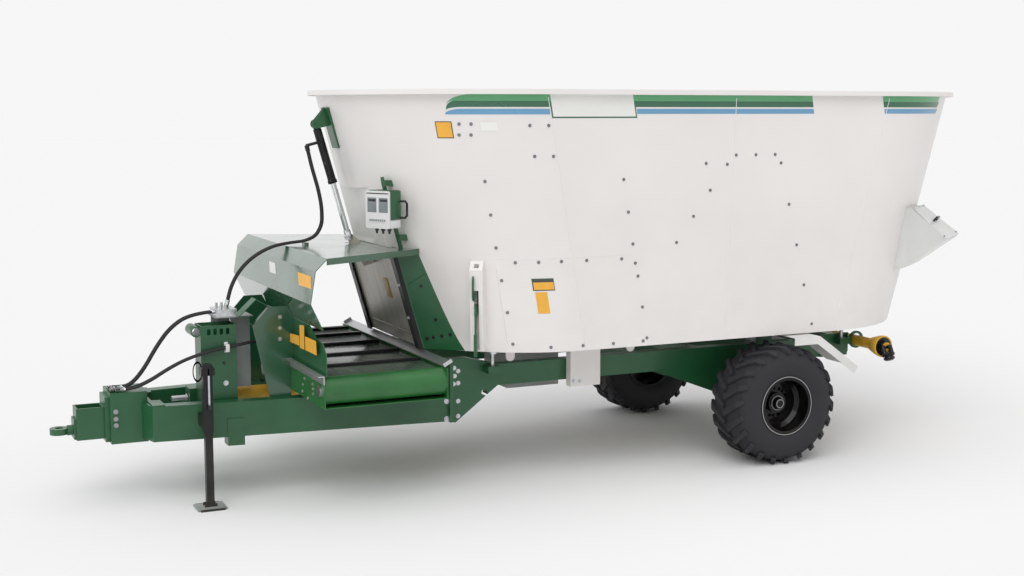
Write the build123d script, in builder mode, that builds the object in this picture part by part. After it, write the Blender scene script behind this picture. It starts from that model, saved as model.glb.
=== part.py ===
from build123d import *

import os
from math import asin, atan, cos, degrees, pi, radians, sin, sqrt, tan

# Twin-auger vertical feed mixer wagon with a front cross conveyor.
# Millimetres. +X towards the towing eye, +Y to the wagon's left, +Z up.
# The origin lies on the ground under the middle of the wagon.

os.makedirs("parts", exist_ok=True)

# Mixing tub: a tapered stadium with flat sides and round ends
tub_top_z = 2713
tub_bottom_z = 944
tub_top_front_x = 490
tub_top_rear_x = -2328
tub_top_radius = 1165
tub_bottom_front_x = 128
tub_bottom_rear_x = -1952
tub_bottom_radius = 1058
tub_wall = 8
tub_floor = 15
rim_out = 48
rim_drop = 34
rim_wall = 6
seat_gap = 0.3

# Front door plane, which leans with the tub's front
door_foot_x = 1132
door_foot_z = 980
door_slope = 0.288
door_half = 499
door_low = -15
door_high = 645
door_skin = 6
door_lift = 5
door_frame_half = 545
door_frame_low = -30
door_frame_high = 685
door_frame_wall = 8
opening_half = 430
opening_high = 590
rail_wall = 505
rail_lip = 470
rail_depth = 30
rail_lip_depth = 16
rail_high = 680
front_flat_low = -60
front_flat_high = 1115

# Door cylinder, in the door plane's own frame
cylinder_out = 130
ram_eye_at = 776
barrel_low = 1172
barrel_high = 1550
barrel_eye_at = 1600
barrel_radius = 29
barrel_bore = 23
ram_radius = 20
ram_running_gap = 0.05
eye_radius = 26
eye_pin_radius = 11
pin_running_gap = 0.05
eye_half_width = 12
bracket_plate = 8
bracket_gap = 1

# Running gear
axle_x = -1468
wheel_y = 987
tyre_radius = 437
tyre_width = 404
tyre_body_radius = 415
rim_seat_radius = 197
rim_flange_radius = 215
rim_width = 366
rim_skin = 9
lug_count = 22
lug_length = 230
lug_thick = 34
lug_turn = 32
hub_radius = 75
hub_bore_radius = 32
spindle_radius = 31.95
stud_count = 8
stud_circle = 205
axle_square = 90

# Main frame under the tub
frame_half = 560
frame_beam_wide = 90
frame_beam_low = 650
frame_beam_high = 800
frame_front_x = 905
frame_rear_x = -2470
frame_plate = 12
flange_x = 932
flange_low = 420
flange_high = 860
cell_high = 90

# Drawbar: two box beams that draw together towards the eye
drawbar_low = 420
drawbar_high = 655
drawbar_rear_half = 550
drawbar_front_x = 2932
drawbar_front_half = 330
drawbar_beam_wide = 100
nose_front_x = 3172
nose_half = 150
nose_low = 390
nose_high = 730
head_front_x = 3382
head_half = 80
head_low = 420
head_high = 632
eye_x = 3483
eye_z = 480
eye_ring_radius = 60
eye_hole_radius = 26
eye_thick = 40

# Parking jack
jack_x = 2620
jack_y = 544
jack_square = 60
jack_inner_gap = 0.6
jack_sleeve_low = 500
jack_sleeve_high = 950
jack_leg_high = 930
jack_foot_thick = 12
jack_foot_long = 190
jack_foot_wide = 160
jack_travel = 250

# Cross conveyor
bed_rear_x = 1165
bed_front_x = 2003
bed_half = 1100
bed_low = 700
bed_high = 903
bed_sheet = 6
slat_shaft_y = 1006
slat_shaft_z = 806
slat_loop_radius = 58
slat_height = 22
slat_wide = 26
slat_count = 9
chain_wide = 26
chain_inset = 26
shaft_radius = 18
sprocket_radius = 50
nose_cover_radius = 92

# Deflector hood over the conveyor
hood_half = 1000
hood_sheet = 5
hood_profile = [(1978, 1190), (2057, 1360), (2022, 1570), (1942, 1648)]
roof_rear_half = 590
roof_z = 1648
roof_flange = 42

# Driveline
drive_z = 635
guard_radius = 46
input_front_x = 2745
input_radius = 17.5
input_spline_long = 95
input_block_x = 2590
input_block_long = 90
gearbox_half = 210
gearbox_low = 545

# Mixing augers
auger_low_z = 985
auger_top_z = 2150
auger_low_radius = 900
auger_top_radius = 300
auger_post_low = 210
auger_post_high = 120
flight_thick = 14
flight_turns = 2.25
flight_step = 30


def tub_at(z):
    """Front centre, rear centre and end radius of the tub at a height."""
    t = (tub_top_z - z) / (tub_top_z - tub_bottom_z)
    front = tub_top_front_x + (tub_bottom_front_x - tub_top_front_x) * t
    rear = tub_top_rear_x + (tub_bottom_rear_x - tub_top_rear_x) * t
    return front, rear, tub_top_radius + (tub_bottom_radius - tub_top_radius) * t


def tub_section(z, inset=0.0):
    """Stadium outline of the tub at a height, drawn in by an inset."""
    front, rear, radius = tub_at(z)
    with BuildSketch(Plane.XY.offset(z)) as section:
        with Locations(((front + rear) / 2, 0)):
            SlotCenterToCenter(front - rear, 2 * (radius - inset))
    return section.sketch


def tub_front(z, y=0.0):
    """X of the tub's front outside face at a height and a side distance."""
    front, rear, radius = tub_at(z)
    return front + sqrt(radius**2 - y**2)


def door_x(z):
    """X of the door plane at a height."""
    return door_foot_x + door_slope * (z - door_foot_z)


door_tilt = atan(door_slope)
door_normal = Vector(cos(door_tilt), 0, -sin(door_tilt))
door_plane = Plane(origin=(door_foot_x, 0, door_foot_z), x_dir=(0, 1, 0), z_dir=door_normal)


def door_y(z, out=0.0):
    """Distance up the door plane of a point at a height and a stand-off."""
    return (z - door_foot_z + out * sin(door_tilt)) / cos(door_tilt)


def door_point(across, up, out):
    """World point from distances across, up and out of the door plane."""
    return door_plane.from_local_coords(Vector(across, up, out))


slope_plane = Plane(origin=door_plane.origin, x_dir=door_plane.y_dir, z_dir=(0, 1, 0))


def block(x, y, z, mode=Mode.ADD):
    """Block between pairs of limits along X, Y and Z."""
    with Locations(((x[0] + x[1]) / 2, (y[0] + y[1]) / 2, (z[0] + z[1]) / 2)):
        Box(x[1] - x[0], y[1] - y[0], z[1] - z[0], mode=mode)


def rod(start, end, radius, mode=Mode.ADD):
    """Round bar from one point to another."""
    run = Vector(*end) - Vector(*start)
    with Locations(Plane(origin=start, z_dir=run)):
        Cylinder(radius, run.length, align=(Align.CENTER, Align.CENTER, Align.MIN), mode=mode)


def prism(plane, points, thick, mode=Mode.ADD):
    """Plate with a closed outline on a plane, grown along its normal."""
    with BuildSketch(plane) as outline:
        Polygon(*points, align=None)
    extrude(outline.sketch, amount=thick, mode=mode)


def side_plate(points, y, mode=Mode.ADD):
    """Plate with an outline of X and Z between two Y."""
    plane = Plane(origin=(0, y[1], 0), x_dir=(1, 0, 0), z_dir=(0, -1, 0))
    prism(plane, points, y[1] - y[0], mode)


def cross_plate(points, x, mode=Mode.ADD):
    """Plate with an outline of Y and Z between two X."""
    plane = Plane(origin=(x[0], 0, 0), x_dir=(0, 1, 0), z_dir=(1, 0, 0))
    prism(plane, points, x[1] - x[0], mode)


def flat_plate(points, z, mode=Mode.ADD):
    """Plate with an outline of X and Y between two Z."""
    prism(Plane.XY.offset(z[0]), points, z[1] - z[0], mode)


def bent(points, thick):
    """Closed outline of a bent sheet, its second face to the left of the points."""
    normals = []
    for start, end in zip(points, points[1:]):
        run = Vector(*end) - Vector(*start)
        normals.append(Vector(-run.Y, run.X, 0) / run.length)
    second = []
    for index, point in enumerate(points):
        before = normals[max(index - 1, 0)]
        after = normals[min(index, len(normals) - 1)]
        moved = Vector(*point) + (before + after) * (thick / (1 + before.dot(after)))
        second.append((moved.X, moved.Y))
    return list(points) + second[::-1]


# Tub outside, with and without the seat gap, kept as cutting tools
tub_outside = loft(
    sections=[tub_section(tub_bottom_z), tub_section(tub_top_z)],
    ruled=True,
    mode=Mode.PRIVATE,
)
tub_seat = loft(
    sections=[tub_section(tub_bottom_z, -seat_gap), tub_section(tub_top_z, -seat_gap)],
    ruled=True,
    mode=Mode.PRIVATE,
)

# Mixing tub with floor, rim, flat front and discharge opening
with BuildPart() as tub_cavity:
    loft(
        sections=[
            tub_section(tub_bottom_z + tub_floor, tub_wall),
            tub_section(tub_top_z + rim_drop, tub_wall),
        ],
        ruled=True,
    )
    with BuildSketch(door_plane.offset(-door_frame_wall - tub_wall)):
        with Locations((0, (front_flat_low + front_flat_high + tub_wall) / 2)):
            Rectangle(3 * opening_half, front_flat_high + tub_wall - front_flat_low)
    extrude(amount=300, mode=Mode.SUBTRACT)

pocket_angles = (53.5, 233.5)
pocket_z = 1290
pocket_high = 290
pocket_low = 320
pocket_half = 45
pocket_out = 70
pocket_skin = 6
slot_half = 16
slot_high = 270
slot_low = 40
pivot_x = 35
pivot_pin_radius = 9

# Feet and tabs under the tub, outside the frame's beams, and the holes for the augers' stubs
floor_hole_radius = 68
tub_foot_x = (-208, 32)
tub_foot_y = 566
tub_foot_wide = 70
tub_foot_low = 606
tab_rows = (-490, 480)
tab_thick = 14
tab_half = 34
tab_low = 818


def pocket_plane(angle):
    """Frame of a counter-knife pocket: x outward, y up, z along the pivot."""
    front, rear, radius = tub_at(pocket_z)
    centre = front if angle < 180 else rear
    out = Vector(cos(radians(angle)), sin(radians(angle)), 0)
    along = Vector(sin(radians(angle)), -cos(radians(angle)), 0)
    return Plane(origin=(centre + radius * out.X, radius * out.Y, pocket_z), x_dir=out, z_dir=along)


with BuildPart() as mixing_tub:
    with BuildSketch(Plane.XY.offset(tub_top_z - rim_drop)):
        with Locations(((tub_top_front_x + tub_top_rear_x) / 2, 0)):
            SlotCenterToCenter(tub_top_front_x - tub_top_rear_x, 2 * (tub_top_radius + rim_out))
    extrude(amount=rim_drop)
    with BuildSketch(Plane.XY.offset(tub_top_z - rim_drop)):
        with Locations(((tub_top_front_x + tub_top_rear_x) / 2, 0)):
            SlotCenterToCenter(
                tub_top_front_x - tub_top_rear_x, 2 * (tub_top_radius + rim_out - rim_wall)
            )
    extrude(amount=rim_drop - rim_wall, mode=Mode.SUBTRACT)
    add(tub_outside)
    with BuildSketch(door_plane.offset(-door_frame_wall)):
        with Locations((0, (front_flat_low + front_flat_high) / 2)):
            Rectangle(3 * opening_half, front_flat_high - front_flat_low)
    extrude(amount=300, mode=Mode.SUBTRACT)
    for angle in pocket_angles:
        with BuildSketch(pocket_plane(angle).offset(-pocket_half)):
            Polygon(
                (-60, -pocket_low), (pocket_out, -pocket_low), (pocket_out + 40, pocket_high - 60),
                (pocket_out, pocket_high), (-60, pocket_high), align=None,
            )
        extrude(amount=2 * pocket_half)
    add(tub_cavity.part, mode=Mode.SUBTRACT)
    for angle in pocket_angles:
        with BuildSketch(pocket_plane(angle).offset(-pocket_half + pocket_skin)):
            Polygon(
                (10, -pocket_low + pocket_skin), (pocket_out - pocket_skin, -pocket_low + pocket_skin),
                (pocket_out + 40 - pocket_skin, pocket_high - 60), (pocket_out, pocket_high - pocket_skin),
                (10, pocket_high - pocket_skin), align=None,
            )
        extrude(amount=2 * (pocket_half - pocket_skin), mode=Mode.SUBTRACT)
        with BuildSketch(pocket_plane(angle).offset(-slot_half)):
            with Locations((0, (slot_high - slot_low) / 2)):
                Rectangle(200, slot_high + slot_low)
        extrude(amount=2 * slot_half, mode=Mode.SUBTRACT)
        # the handle leaves the pocket through a slot in its outer wall
        with BuildSketch(pocket_plane(angle).offset(-slot_half)):
            with Locations((pocket_out + 20, -pocket_low / 2)):
                Rectangle(80, pocket_low + 60)
        extrude(amount=2 * slot_half, mode=Mode.SUBTRACT)
    with BuildSketch(door_plane):
        with Locations((0, opening_high / 2 + 5)):
            Rectangle(2 * opening_half, opening_high - 10)
    extrude(amount=-200, mode=Mode.SUBTRACT)
    for angle in pocket_angles:
        plane = pocket_plane(angle)
        ends = [plane.from_local_coords(Vector(pivot_x, 0, out)) for out in (-pocket_half, pocket_half)]
        rod(ends[0], ends[1], pivot_pin_radius)
    for x in (tub_bottom_front_x, tub_bottom_rear_x):
        rod((x, 0, tub_bottom_z - 1), (x, 0, tub_bottom_z + tub_floor + 1), floor_hole_radius, mode=Mode.SUBTRACT)
    for side in (-1, 1):
        y = (tub_foot_y, tub_foot_y + tub_foot_wide) if side > 0 else (-tub_foot_y - tub_foot_wide, -tub_foot_y)
        block(tub_foot_x, y, (tub_foot_low, tub_bottom_z + tub_floor))
        y = (tub_foot_y, tub_foot_y + tab_thick) if side > 0 else (-tub_foot_y - tab_thick, -tub_foot_y)
        for x in tab_rows:
            block((x - tab_half, x + tab_half), y, (tab_low + tab_half, tub_bottom_z + tub_floor))
            rod((x, y[0], tab_low + tab_half), (x, y[1], tab_low + tab_half), tab_half)
mixing_tub.part.label = "mixing_tub"
export_step(mixing_tub.part, "parts/mixing_tub.step")

# Door frame: flat surround, side fairings down to the tub, and the cylinder's top bracket
fairing_rows = [  # height, outer edge's distance from the middle
    (tub_bottom_z + 2, 735),
    (1640, 605),
]


def fairing_outline(z, outer):
    """Plan of one side fairing, before the tub is cut out of it."""
    front = door_x(z) - door_frame_wall
    with BuildSketch(Plane.XY.offset(z)) as outline:
        Polygon(
            (front, opening_half), (front, door_frame_half), (tub_front(z, outer), outer),
            (tub_front(z, outer) - 90, outer - 80), (front - 190, opening_half), align=None,
        )
    return outline.sketch


with BuildPart() as door_frame:
    loft(sections=[fairing_outline(z, outer) for z, outer in fairing_rows], ruled=True)
    mirror(about=Plane.XZ)
    add(tub_seat, mode=Mode.SUBTRACT)
    with BuildSketch(door_plane.offset(-door_frame_wall)):
        with Locations((0, (door_frame_low + door_frame_high) / 2)):
            Rectangle(2 * door_frame_half, door_frame_high - door_frame_low)
    extrude(amount=door_frame_wall)
    with BuildSketch(door_plane.offset(-220)):
        with Locations((0, opening_high / 2)):
            Rectangle(2 * opening_half, opening_high)
    extrude(amount=220, mode=Mode.SUBTRACT)
door_frame.part.label = "door_frame"
export_step(door_frame.part, "parts/door_frame.step")

# Cylinder bracket: a base plate on the tub and two ears round the cylinder's top eye
ear_low = 1562
ear_high = 1650
ear_foot = 1400
ear_start = eye_half_width + bracket_gap
ear_radius = 32
bracket_half = 70
bracket_out = 42
with BuildPart() as cylinder_bracket:
    for start in (ear_start, -ear_start - bracket_plate):
        with BuildSketch(slope_plane.offset(start)):
            Polygon(
                (ear_foot, 0), (ear_high + 40, 0), (ear_high + 40, bracket_out),
                (barrel_eye_at + ear_radius, cylinder_out), (barrel_eye_at - ear_radius, cylinder_out),
                (ear_low, bracket_out), align=None,
            )
            with Locations((barrel_eye_at, cylinder_out)):
                Circle(ear_radius)
        extrude(amount=bracket_plate)
    with BuildSketch(door_plane):
        with Locations((0, (ear_foot + ear_high + 40) / 2)):
            Rectangle(2 * bracket_half, ear_high + 40 - ear_foot)
    extrude(amount=bracket_out)
    pin_end = ear_start + bracket_plate + 6
    rod(
        door_point(-pin_end, barrel_eye_at, cylinder_out),
        door_point(pin_end, barrel_eye_at, cylinder_out),
        eye_pin_radius,
    )
    add(tub_seat, mode=Mode.SUBTRACT)
cylinder_bracket.part.label = "cylinder_bracket"
export_step(cylinder_bracket.part, "parts/cylinder_bracket.step")

# Guide rails: an angle on each side of the door
with BuildPart() as guide_rails:
    for low, high, inner in ((0, rail_lip_depth, rail_wall), (rail_lip_depth, rail_depth, rail_lip)):
        with BuildSketch(door_plane.offset(low)):
            with Locations(((inner + door_frame_half) / 2, (rail_high + door_frame_low) / 2)):
                Rectangle(door_frame_half - inner, rail_high - door_frame_low)
        extrude(amount=high - low)
    mirror(about=Plane.XZ)
guide_rails.part.label = "guide_rails"
export_step(guide_rails.part, "parts/guide_rails.step")

# Discharge door with the lug that the cylinder pulls
lug_half = 8
lug_low = 540
lug_foot = 84
with BuildPart() as discharge_door:
    with BuildSketch(door_plane.offset(door_lift)):
        with Locations((0, (door_low + door_high) / 2)):
            Rectangle(2 * door_half, door_high - door_low)
    extrude(amount=door_skin)
    with BuildSketch(slope_plane.offset(-lug_half)):
        Polygon(
            (lug_low, door_lift + door_skin / 2), (door_high, door_lift + door_skin / 2),
            (ram_eye_at + eye_radius / 2, cylinder_out - eye_radius), (ram_eye_at, cylinder_out),
            (ram_eye_at - eye_radius / 2, cylinder_out + eye_radius / 2),
            (lug_low, lug_foot), align=None,
        )
        with Locations((ram_eye_at, cylinder_out)):
            Circle(eye_radius)
            Circle(eye_pin_radius + pin_running_gap, mode=Mode.SUBTRACT)
    extrude(amount=2 * lug_half)
discharge_door.part.label = "discharge_door"
export_step(discharge_door.part, "parts/discharge_door.step")

# Cylinder rod with its fork and pin
fork_gap = 1
fork_plate = 8
fork_reach = 34
fork_root = 16
rod_inner_end = 1202
with BuildPart() as cylinder_rod:
    rod(
        door_point(0, ram_eye_at + fork_reach, cylinder_out),
        door_point(0, rod_inner_end, cylinder_out),
        ram_radius,
    )
    for start in (lug_half + fork_gap, -lug_half - fork_gap - fork_plate):
        with BuildSketch(slope_plane.offset(start)):
            with Locations((ram_eye_at, cylinder_out)):
                Circle(eye_radius)
            with Locations((ram_eye_at + (fork_reach + fork_root) / 2, cylinder_out)):
                Rectangle(fork_reach + fork_root, 2 * ram_radius)
        extrude(amount=fork_plate)
    fork_out = lug_half + fork_gap + fork_plate
    with BuildSketch(slope_plane.offset(-fork_out)):
        with Locations((ram_eye_at + fork_reach + fork_root / 2, cylinder_out)):
            Rectangle(fork_root, 2 * ram_radius)
    extrude(amount=2 * fork_out)
    rod(
        door_point(-fork_out - 6, ram_eye_at, cylinder_out),
        door_point(fork_out + 6, ram_eye_at, cylinder_out),
        eye_pin_radius,
    )
cylinder_rod.part.label = "cylinder_rod"
export_step(cylinder_rod.part, "parts/cylinder_rod.step")


# Hose routes: two from the door's cylinder to the valves, and four that reach forward to the nose
hose_radius = 9
fitting_radius = 12
cylinder_route = [  # X, Z
    (1766, 2296), (1738, 2170), (1700, 2040), (1676, 1910), (1676, 1790), (1720, 1710), (1800, 1676),
    (1910, 1668), (2020, 1652), (2125, 1610), (2215, 1548), (2285, 1470), (2332, 1380), (2356, 1295),
]
cylinder_hose_rows = [(14, 36), (44, 68)]  # Y at the cylinder, Y at the valve block
upper_route = [  # X, Z
    (2480, 1225), (2620, 1216), (2750, 1136), (2845, 1010), (2925, 870), (3000, 776), (3060, 746.5),
    (3100, 745.4),
]
upper_rows = [(70, 0), (112, 40)]  # Y at the valve block, Y on the nose
lower_route = [  # X, share of the way to the nose's Y, Z
    (2098, -1.0, 912), (2112, -0.93, 975), (2175, -0.6, 1016), (2262, -0.16, 1026), (2360, 0, 1018),
    (2470, 0, 1002), (2590, 0, 978), (2710, 0.16, 935), (2815, 0.38, 873), (2905, 0.64, 806),
    (2985, 0.86, 762), (3048, 0.96, 747), (3096, 1.0, 745.6),
]
lower_rows = [(52, 276, 84), (80, 297, 122)]  # Y at the motor, Y at the tower, Y on the nose


def hose_radii(points):
    """Bend radius at each inner corner of a hose's route."""
    radii = []
    for before, corner, after in zip(points, points[1:], points[2:]):
        first, second = Vector(*corner) - Vector(*before), Vector(*after) - Vector(*corner)
        half_turn = radians(first.get_angle(second)) / 2
        radii.append(0.45 * min(first.length, second.length) / tan(half_turn))
    return radii


def hose(points, name):
    """Hose along a route, added to the part under construction."""
    radii = hose_radii(points)
    print(name, "bend radii", [round(radius) for radius in radii])
    with BuildLine(mode=Mode.PRIVATE) as path:
        FilletPolyline(*points, radius=radii)
    with BuildSketch(Plane(origin=points[0], z_dir=Vector(*points[1]) - Vector(*points[0]))) as section:
        Circle(hose_radius)
    sweep(sections=section.sketch, path=path.line, transition=Transition.ROUND)


def spread(route, rows):
    """Route whose Y runs evenly from one value to the other."""
    last = len(route) - 1
    return [(x, rows[0] + (rows[1] - rows[0]) * n / last, z) for n, (x, z) in enumerate(route)]


def fitting(end, inner, reach):
    """Straight fitting that a hose's end meets face to face; returns its far end."""
    away = (Vector(*end) - Vector(*inner)).normalized()
    rod(end, Vector(*end) + away * reach, fitting_radius)
    return Vector(*end) + away * reach


cylinder_hose_points = [spread(cylinder_route, rows) for rows in cylinder_hose_rows]
upper_hose_points = [spread(upper_route, rows) for rows in upper_rows]
lower_hose_points = [
    [
        (x, tower + (motor - tower) * -share if share < 0 else tower + (nose - tower) * share, z)
        for x, share, z in lower_route
    ]
    for motor, tower, nose in lower_rows
]

# Cylinder barrel: tube, gland, end cap with eye, elbows for the hoses and the pipe to the gland
barrel_cap = 12
gland_long = 22
gland_radius = 33
port_radius = 9
port_inset = 24
pipe_radius = 6
pipe_out = cylinder_out + 14
pipe_across = 44
elbow_at = 1476
elbow_reach = 40
with BuildPart() as cylinder_barrel:
    rod(
        door_point(0, barrel_low, cylinder_out),
        door_point(0, barrel_high + barrel_cap, cylinder_out),
        barrel_radius,
    )
    rod(
        door_point(0, barrel_low, cylinder_out),
        door_point(0, barrel_low + gland_long, cylinder_out),
        gland_radius,
    )
    for (across, _), points in zip(cylinder_hose_rows, cylinder_hose_points):
        elbow = fitting(points[0], points[1], elbow_reach)
        rod(door_point(across, elbow_at, pipe_out), elbow, port_radius)
    rod(
        door_point(pipe_across, barrel_low + port_inset, pipe_out),
        door_point(pipe_across, elbow_at + port_radius, pipe_out),
        pipe_radius,
    )
    for at in (barrel_low + port_inset, (barrel_low + elbow_at) / 2):
        rod(door_point(0, at, pipe_out), door_point(pipe_across + 5, at, pipe_out), port_radius)
    with BuildSketch(slope_plane.offset(-eye_half_width)):
        with Locations((barrel_eye_at, cylinder_out)):
            Circle(eye_radius)
        with Locations(((barrel_eye_at + barrel_high) / 2, cylinder_out)):
            Rectangle(barrel_eye_at - barrel_high, 2 * eye_radius - 8)
    extrude(amount=2 * eye_half_width)
    rod(
        door_point(0, barrel_low + gland_long, cylinder_out),
        door_point(0, barrel_high, cylinder_out),
        barrel_bore,
        mode=Mode.SUBTRACT,
    )
    rod(
        door_point(0, barrel_low - 1, cylinder_out),
        door_point(0, barrel_high, cylinder_out),
        ram_radius + ram_running_gap,
        mode=Mode.SUBTRACT,
    )
    rod(
        door_point(-2 * eye_half_width, barrel_eye_at, cylinder_out),
        door_point(2 * eye_half_width, barrel_eye_at, cylinder_out),
        eye_pin_radius + pin_running_gap,
        mode=Mode.SUBTRACT,
    )
cylinder_barrel.part.label = "cylinder_barrel"
export_step(cylinder_barrel.part, "parts/cylinder_barrel.step")

# Chute lip under the door
lip_rear = (1112, 935)
lip_front = (1170, bed_high + seat_gap)
lip_half = 1050
lip_sheet = 5
lip_cheek = 26
with BuildPart() as chute_lip:
    side_plate(bent([lip_rear, lip_front], lip_sheet), (-lip_half, lip_half))
    for y in ((lip_half - lip_sheet, lip_half), (-lip_half, lip_sheet - lip_half)):
        side_plate(bent([lip_rear, lip_front], lip_cheek), y)
chute_lip.part.label = "chute_lip"
export_step(chute_lip.part, "parts/chute_lip.step")

# Hooks at the main frame's rear end, which hold the stowed drive shaft across the wagon
shaft_tube_radius = 42
hook_x = -2522
hook_z = 775
hook_radius = 68
hook_hole_radius = 50
hook_thick = 16
hook_y = 600
hook_stem_front = -2440
hook_stem_half = 30
stowed_z = hook_z - hook_hole_radius + shaft_tube_radius + seat_gap

# Main frame: two beams with haunches, bolted front flanges, gussets down to the axle
haunch = [(932, 420), (932, 860), (800, 860), (570, 800), (570, 650), (893, 410)]
haunch_hole_x = 670
haunch_hole_z = 605
haunch_hole_radius = 25
flange_wide = (455, 590)
gusset = [(-703, 655), (-1123, 495), (-1410, 385), (-1526, 385), (-1700, 480), (-2000, 655)]
gusset_wide = (490, 550)
rear_plate = [(-2203, 650), (-2203, 830), (-2468, 830), (-2468, 680), (-2420, 650)]
crossmember_low = 720
crossmember_rows = [(840, 905), (-560, -480), (-1120, -1040), (-1640, -1560), (-2470, -2390)]
cell_bracket_rows = [(580, 680), (-2425, -2330)]
cell_bracket_low = 752
cell_y = 600
guard_post_rows = [(-1720, -1600)]
guard_post_high = 930
guard_arm_low = 895
guard_arm_out = 1100
with BuildPart() as chassis_frame:
    inner = frame_half - frame_beam_wide
    block((frame_rear_x, frame_front_x), (inner, frame_half), (frame_beam_low, frame_beam_high))
    side_plate(haunch, (inner, frame_half))
    block((flange_x - frame_plate, flange_x), flange_wide, (flange_low, flange_high))
    side_plate(gusset, gusset_wide)
    side_plate(rear_plate, (frame_half, frame_half + frame_plate))
    for x in cell_bracket_rows:
        block(x, (frame_half, cell_y + 50), (cell_bracket_low, frame_beam_high))
    for x in guard_post_rows:
        block(x, (frame_half, frame_half + 40), (frame_beam_low, guard_post_high))
        block(x, (frame_half, guard_arm_out), (guard_arm_low, guard_post_high))
    rod((hook_x, hook_y - hook_thick / 2, hook_z), (hook_x, hook_y + hook_thick / 2, hook_z), hook_radius)
    block(
        (hook_x, hook_stem_front), (frame_half, hook_y + hook_thick / 2),
        (hook_z - hook_stem_half, hook_z + hook_stem_half),
    )
    mirror(about=Plane.XZ)
    rod(
        (hook_x, -hook_y - hook_thick, hook_z), (hook_x, hook_y + hook_thick, hook_z),
        hook_hole_radius, mode=Mode.SUBTRACT,
    )
    for x in crossmember_rows:
        block(x, (-frame_half, frame_half), (crossmember_low, frame_beam_high))
    rod(
        (haunch_hole_x, -frame_half - 1, haunch_hole_z),
        (haunch_hole_x, frame_half + 1, haunch_hole_z),
        haunch_hole_radius,
        mode=Mode.SUBTRACT,
    )
    notch = axle_square / 2 + seat_gap
    block(
        (axle_x - notch, axle_x + notch),
        (-frame_half, frame_half),
        (tyre_radius - notch, tyre_radius + notch),
        mode=Mode.SUBTRACT,
    )
chassis_frame.part.label = "chassis_frame"
export_step(chassis_frame.part, "parts/chassis_frame.step")

# Drawbar: beams in plan, deck for the driveline's bearing, nose and a pocket on each side
drawbar_flange = 12
deck = (2352, 2640)
deck_z = (555, 575)
deck_web = 20
bearing_half = 70
bearing_high = 705
bearing_fit = 0.05
cap_long = 40
top_plate = (2850, 2932)
top_plate_z = (655, 663)
top_plate_notch = 150
nose_round = 40
pocket_plate_x = (2345, 2455)
pocket_plate_z = (362, 545)
pocket_plate_out = 8
nose_bolt_rows = [(3140, 608), (3140, 560), (3140, 517)]
nose_bolt_radius = 16


def drawbar_half(x, inset=0.0):
    """Half width of the drawbar over its beams at a distance along the wagon."""
    along = (x - flange_x) / (drawbar_front_x - flange_x)
    return drawbar_rear_half + (drawbar_front_half - drawbar_rear_half) * along - inset


with BuildPart() as drawbar_frame:
    rear = flange_x + drawbar_flange
    beam = [
        (rear, drawbar_half(rear)), (drawbar_front_x, drawbar_half(drawbar_front_x)),
        (drawbar_front_x, drawbar_half(drawbar_front_x, drawbar_beam_wide)),
        (rear, drawbar_half(rear, drawbar_beam_wide)),
    ]
    flat_plate(beam, (drawbar_low, drawbar_high))
    block((flange_x, rear), flange_wide, (flange_low, flange_high))
    pocket = [
        (x, drawbar_half(x) + out)
        for x, out in zip(pocket_plate_x + pocket_plate_x[::-1], (0, 0, pocket_plate_out, pocket_plate_out))
    ]
    flat_plate(pocket, pocket_plate_z)
    pocket_floor = [(x, drawbar_half(x) + out) for x, out in zip(
        pocket_plate_x + pocket_plate_x[::-1], (-drawbar_beam_wide, -drawbar_beam_wide, 1, 1))]
    flat_plate(pocket_floor, (pocket_plate_z[0], drawbar_low))
    mirror(about=Plane.XZ)
    for z, x in ((deck_z, deck), ((drawbar_low, deck_z[0]), (deck[0], deck[0] + deck_web)),
                 ((drawbar_low, deck_z[0]), (deck[1] - deck_web, deck[1]))):
        flat_plate([
            (x[0], drawbar_half(x[0], 50)), (x[1], drawbar_half(x[1], 50)),
            (x[1], -drawbar_half(x[1], 50)), (x[0], -drawbar_half(x[0], 50)),
        ], z)
    block(
        (input_block_x - input_block_long / 2, input_block_x + input_block_long / 2),
        (-bearing_half, bearing_half), (deck_z[0], bearing_high),
    )
    cap_half = drawbar_half(drawbar_front_x)
    flat_plate([
        (drawbar_front_x - cap_long, cap_half), (drawbar_front_x, cap_half),
        (drawbar_front_x + cap_long, nose_half), (drawbar_front_x + cap_long, -nose_half),
        (drawbar_front_x, -cap_half), (drawbar_front_x - cap_long, -cap_half),
    ], (drawbar_low, drawbar_high))
    block(top_plate, (-cap_half, cap_half), top_plate_z)
    block((drawbar_front_x, nose_front_x), (-nose_half, nose_half), (nose_low, nose_high))
    for x, z in nose_bolt_rows:
        rod((x, -nose_half - 8, z), (x, nose_half + 8, z), nose_bolt_radius)
    rod((deck[0], 0, drive_z), (deck[1] + 60, 0, drive_z), input_radius + bearing_fit, mode=Mode.SUBTRACT)
    with Locations((top_plate[0], 0, top_plate_z[1])):
        Cylinder(top_plate_notch, 4 * (top_plate_z[1] - top_plate_z[0]), mode=Mode.SUBTRACT)
drawbar_frame.part.label = "drawbar_frame"
export_step(drawbar_frame.part, "parts/drawbar_frame.step")

# Hitch head: adjusting plate and an open box that carries the towing eye
adjust_plate = (3172, 3202)
adjust_half = 110
adjust_z = (400, 700)
head_wall = 12
with BuildPart() as hitch_head:
    block(adjust_plate, (-adjust_half, adjust_half), adjust_z)
    block((adjust_plate[1], head_front_x), (-head_half, head_half), (head_low, head_high))
    block(
        (adjust_plate[1] + head_wall, head_front_x - head_wall),
        (head_wall - head_half, head_half - head_wall),
        (head_low + head_wall, head_high + 1),
        mode=Mode.SUBTRACT,
    )
hitch_head.part.label = "hitch_head"
export_step(hitch_head.part, "parts/hitch_head.step")

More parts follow.
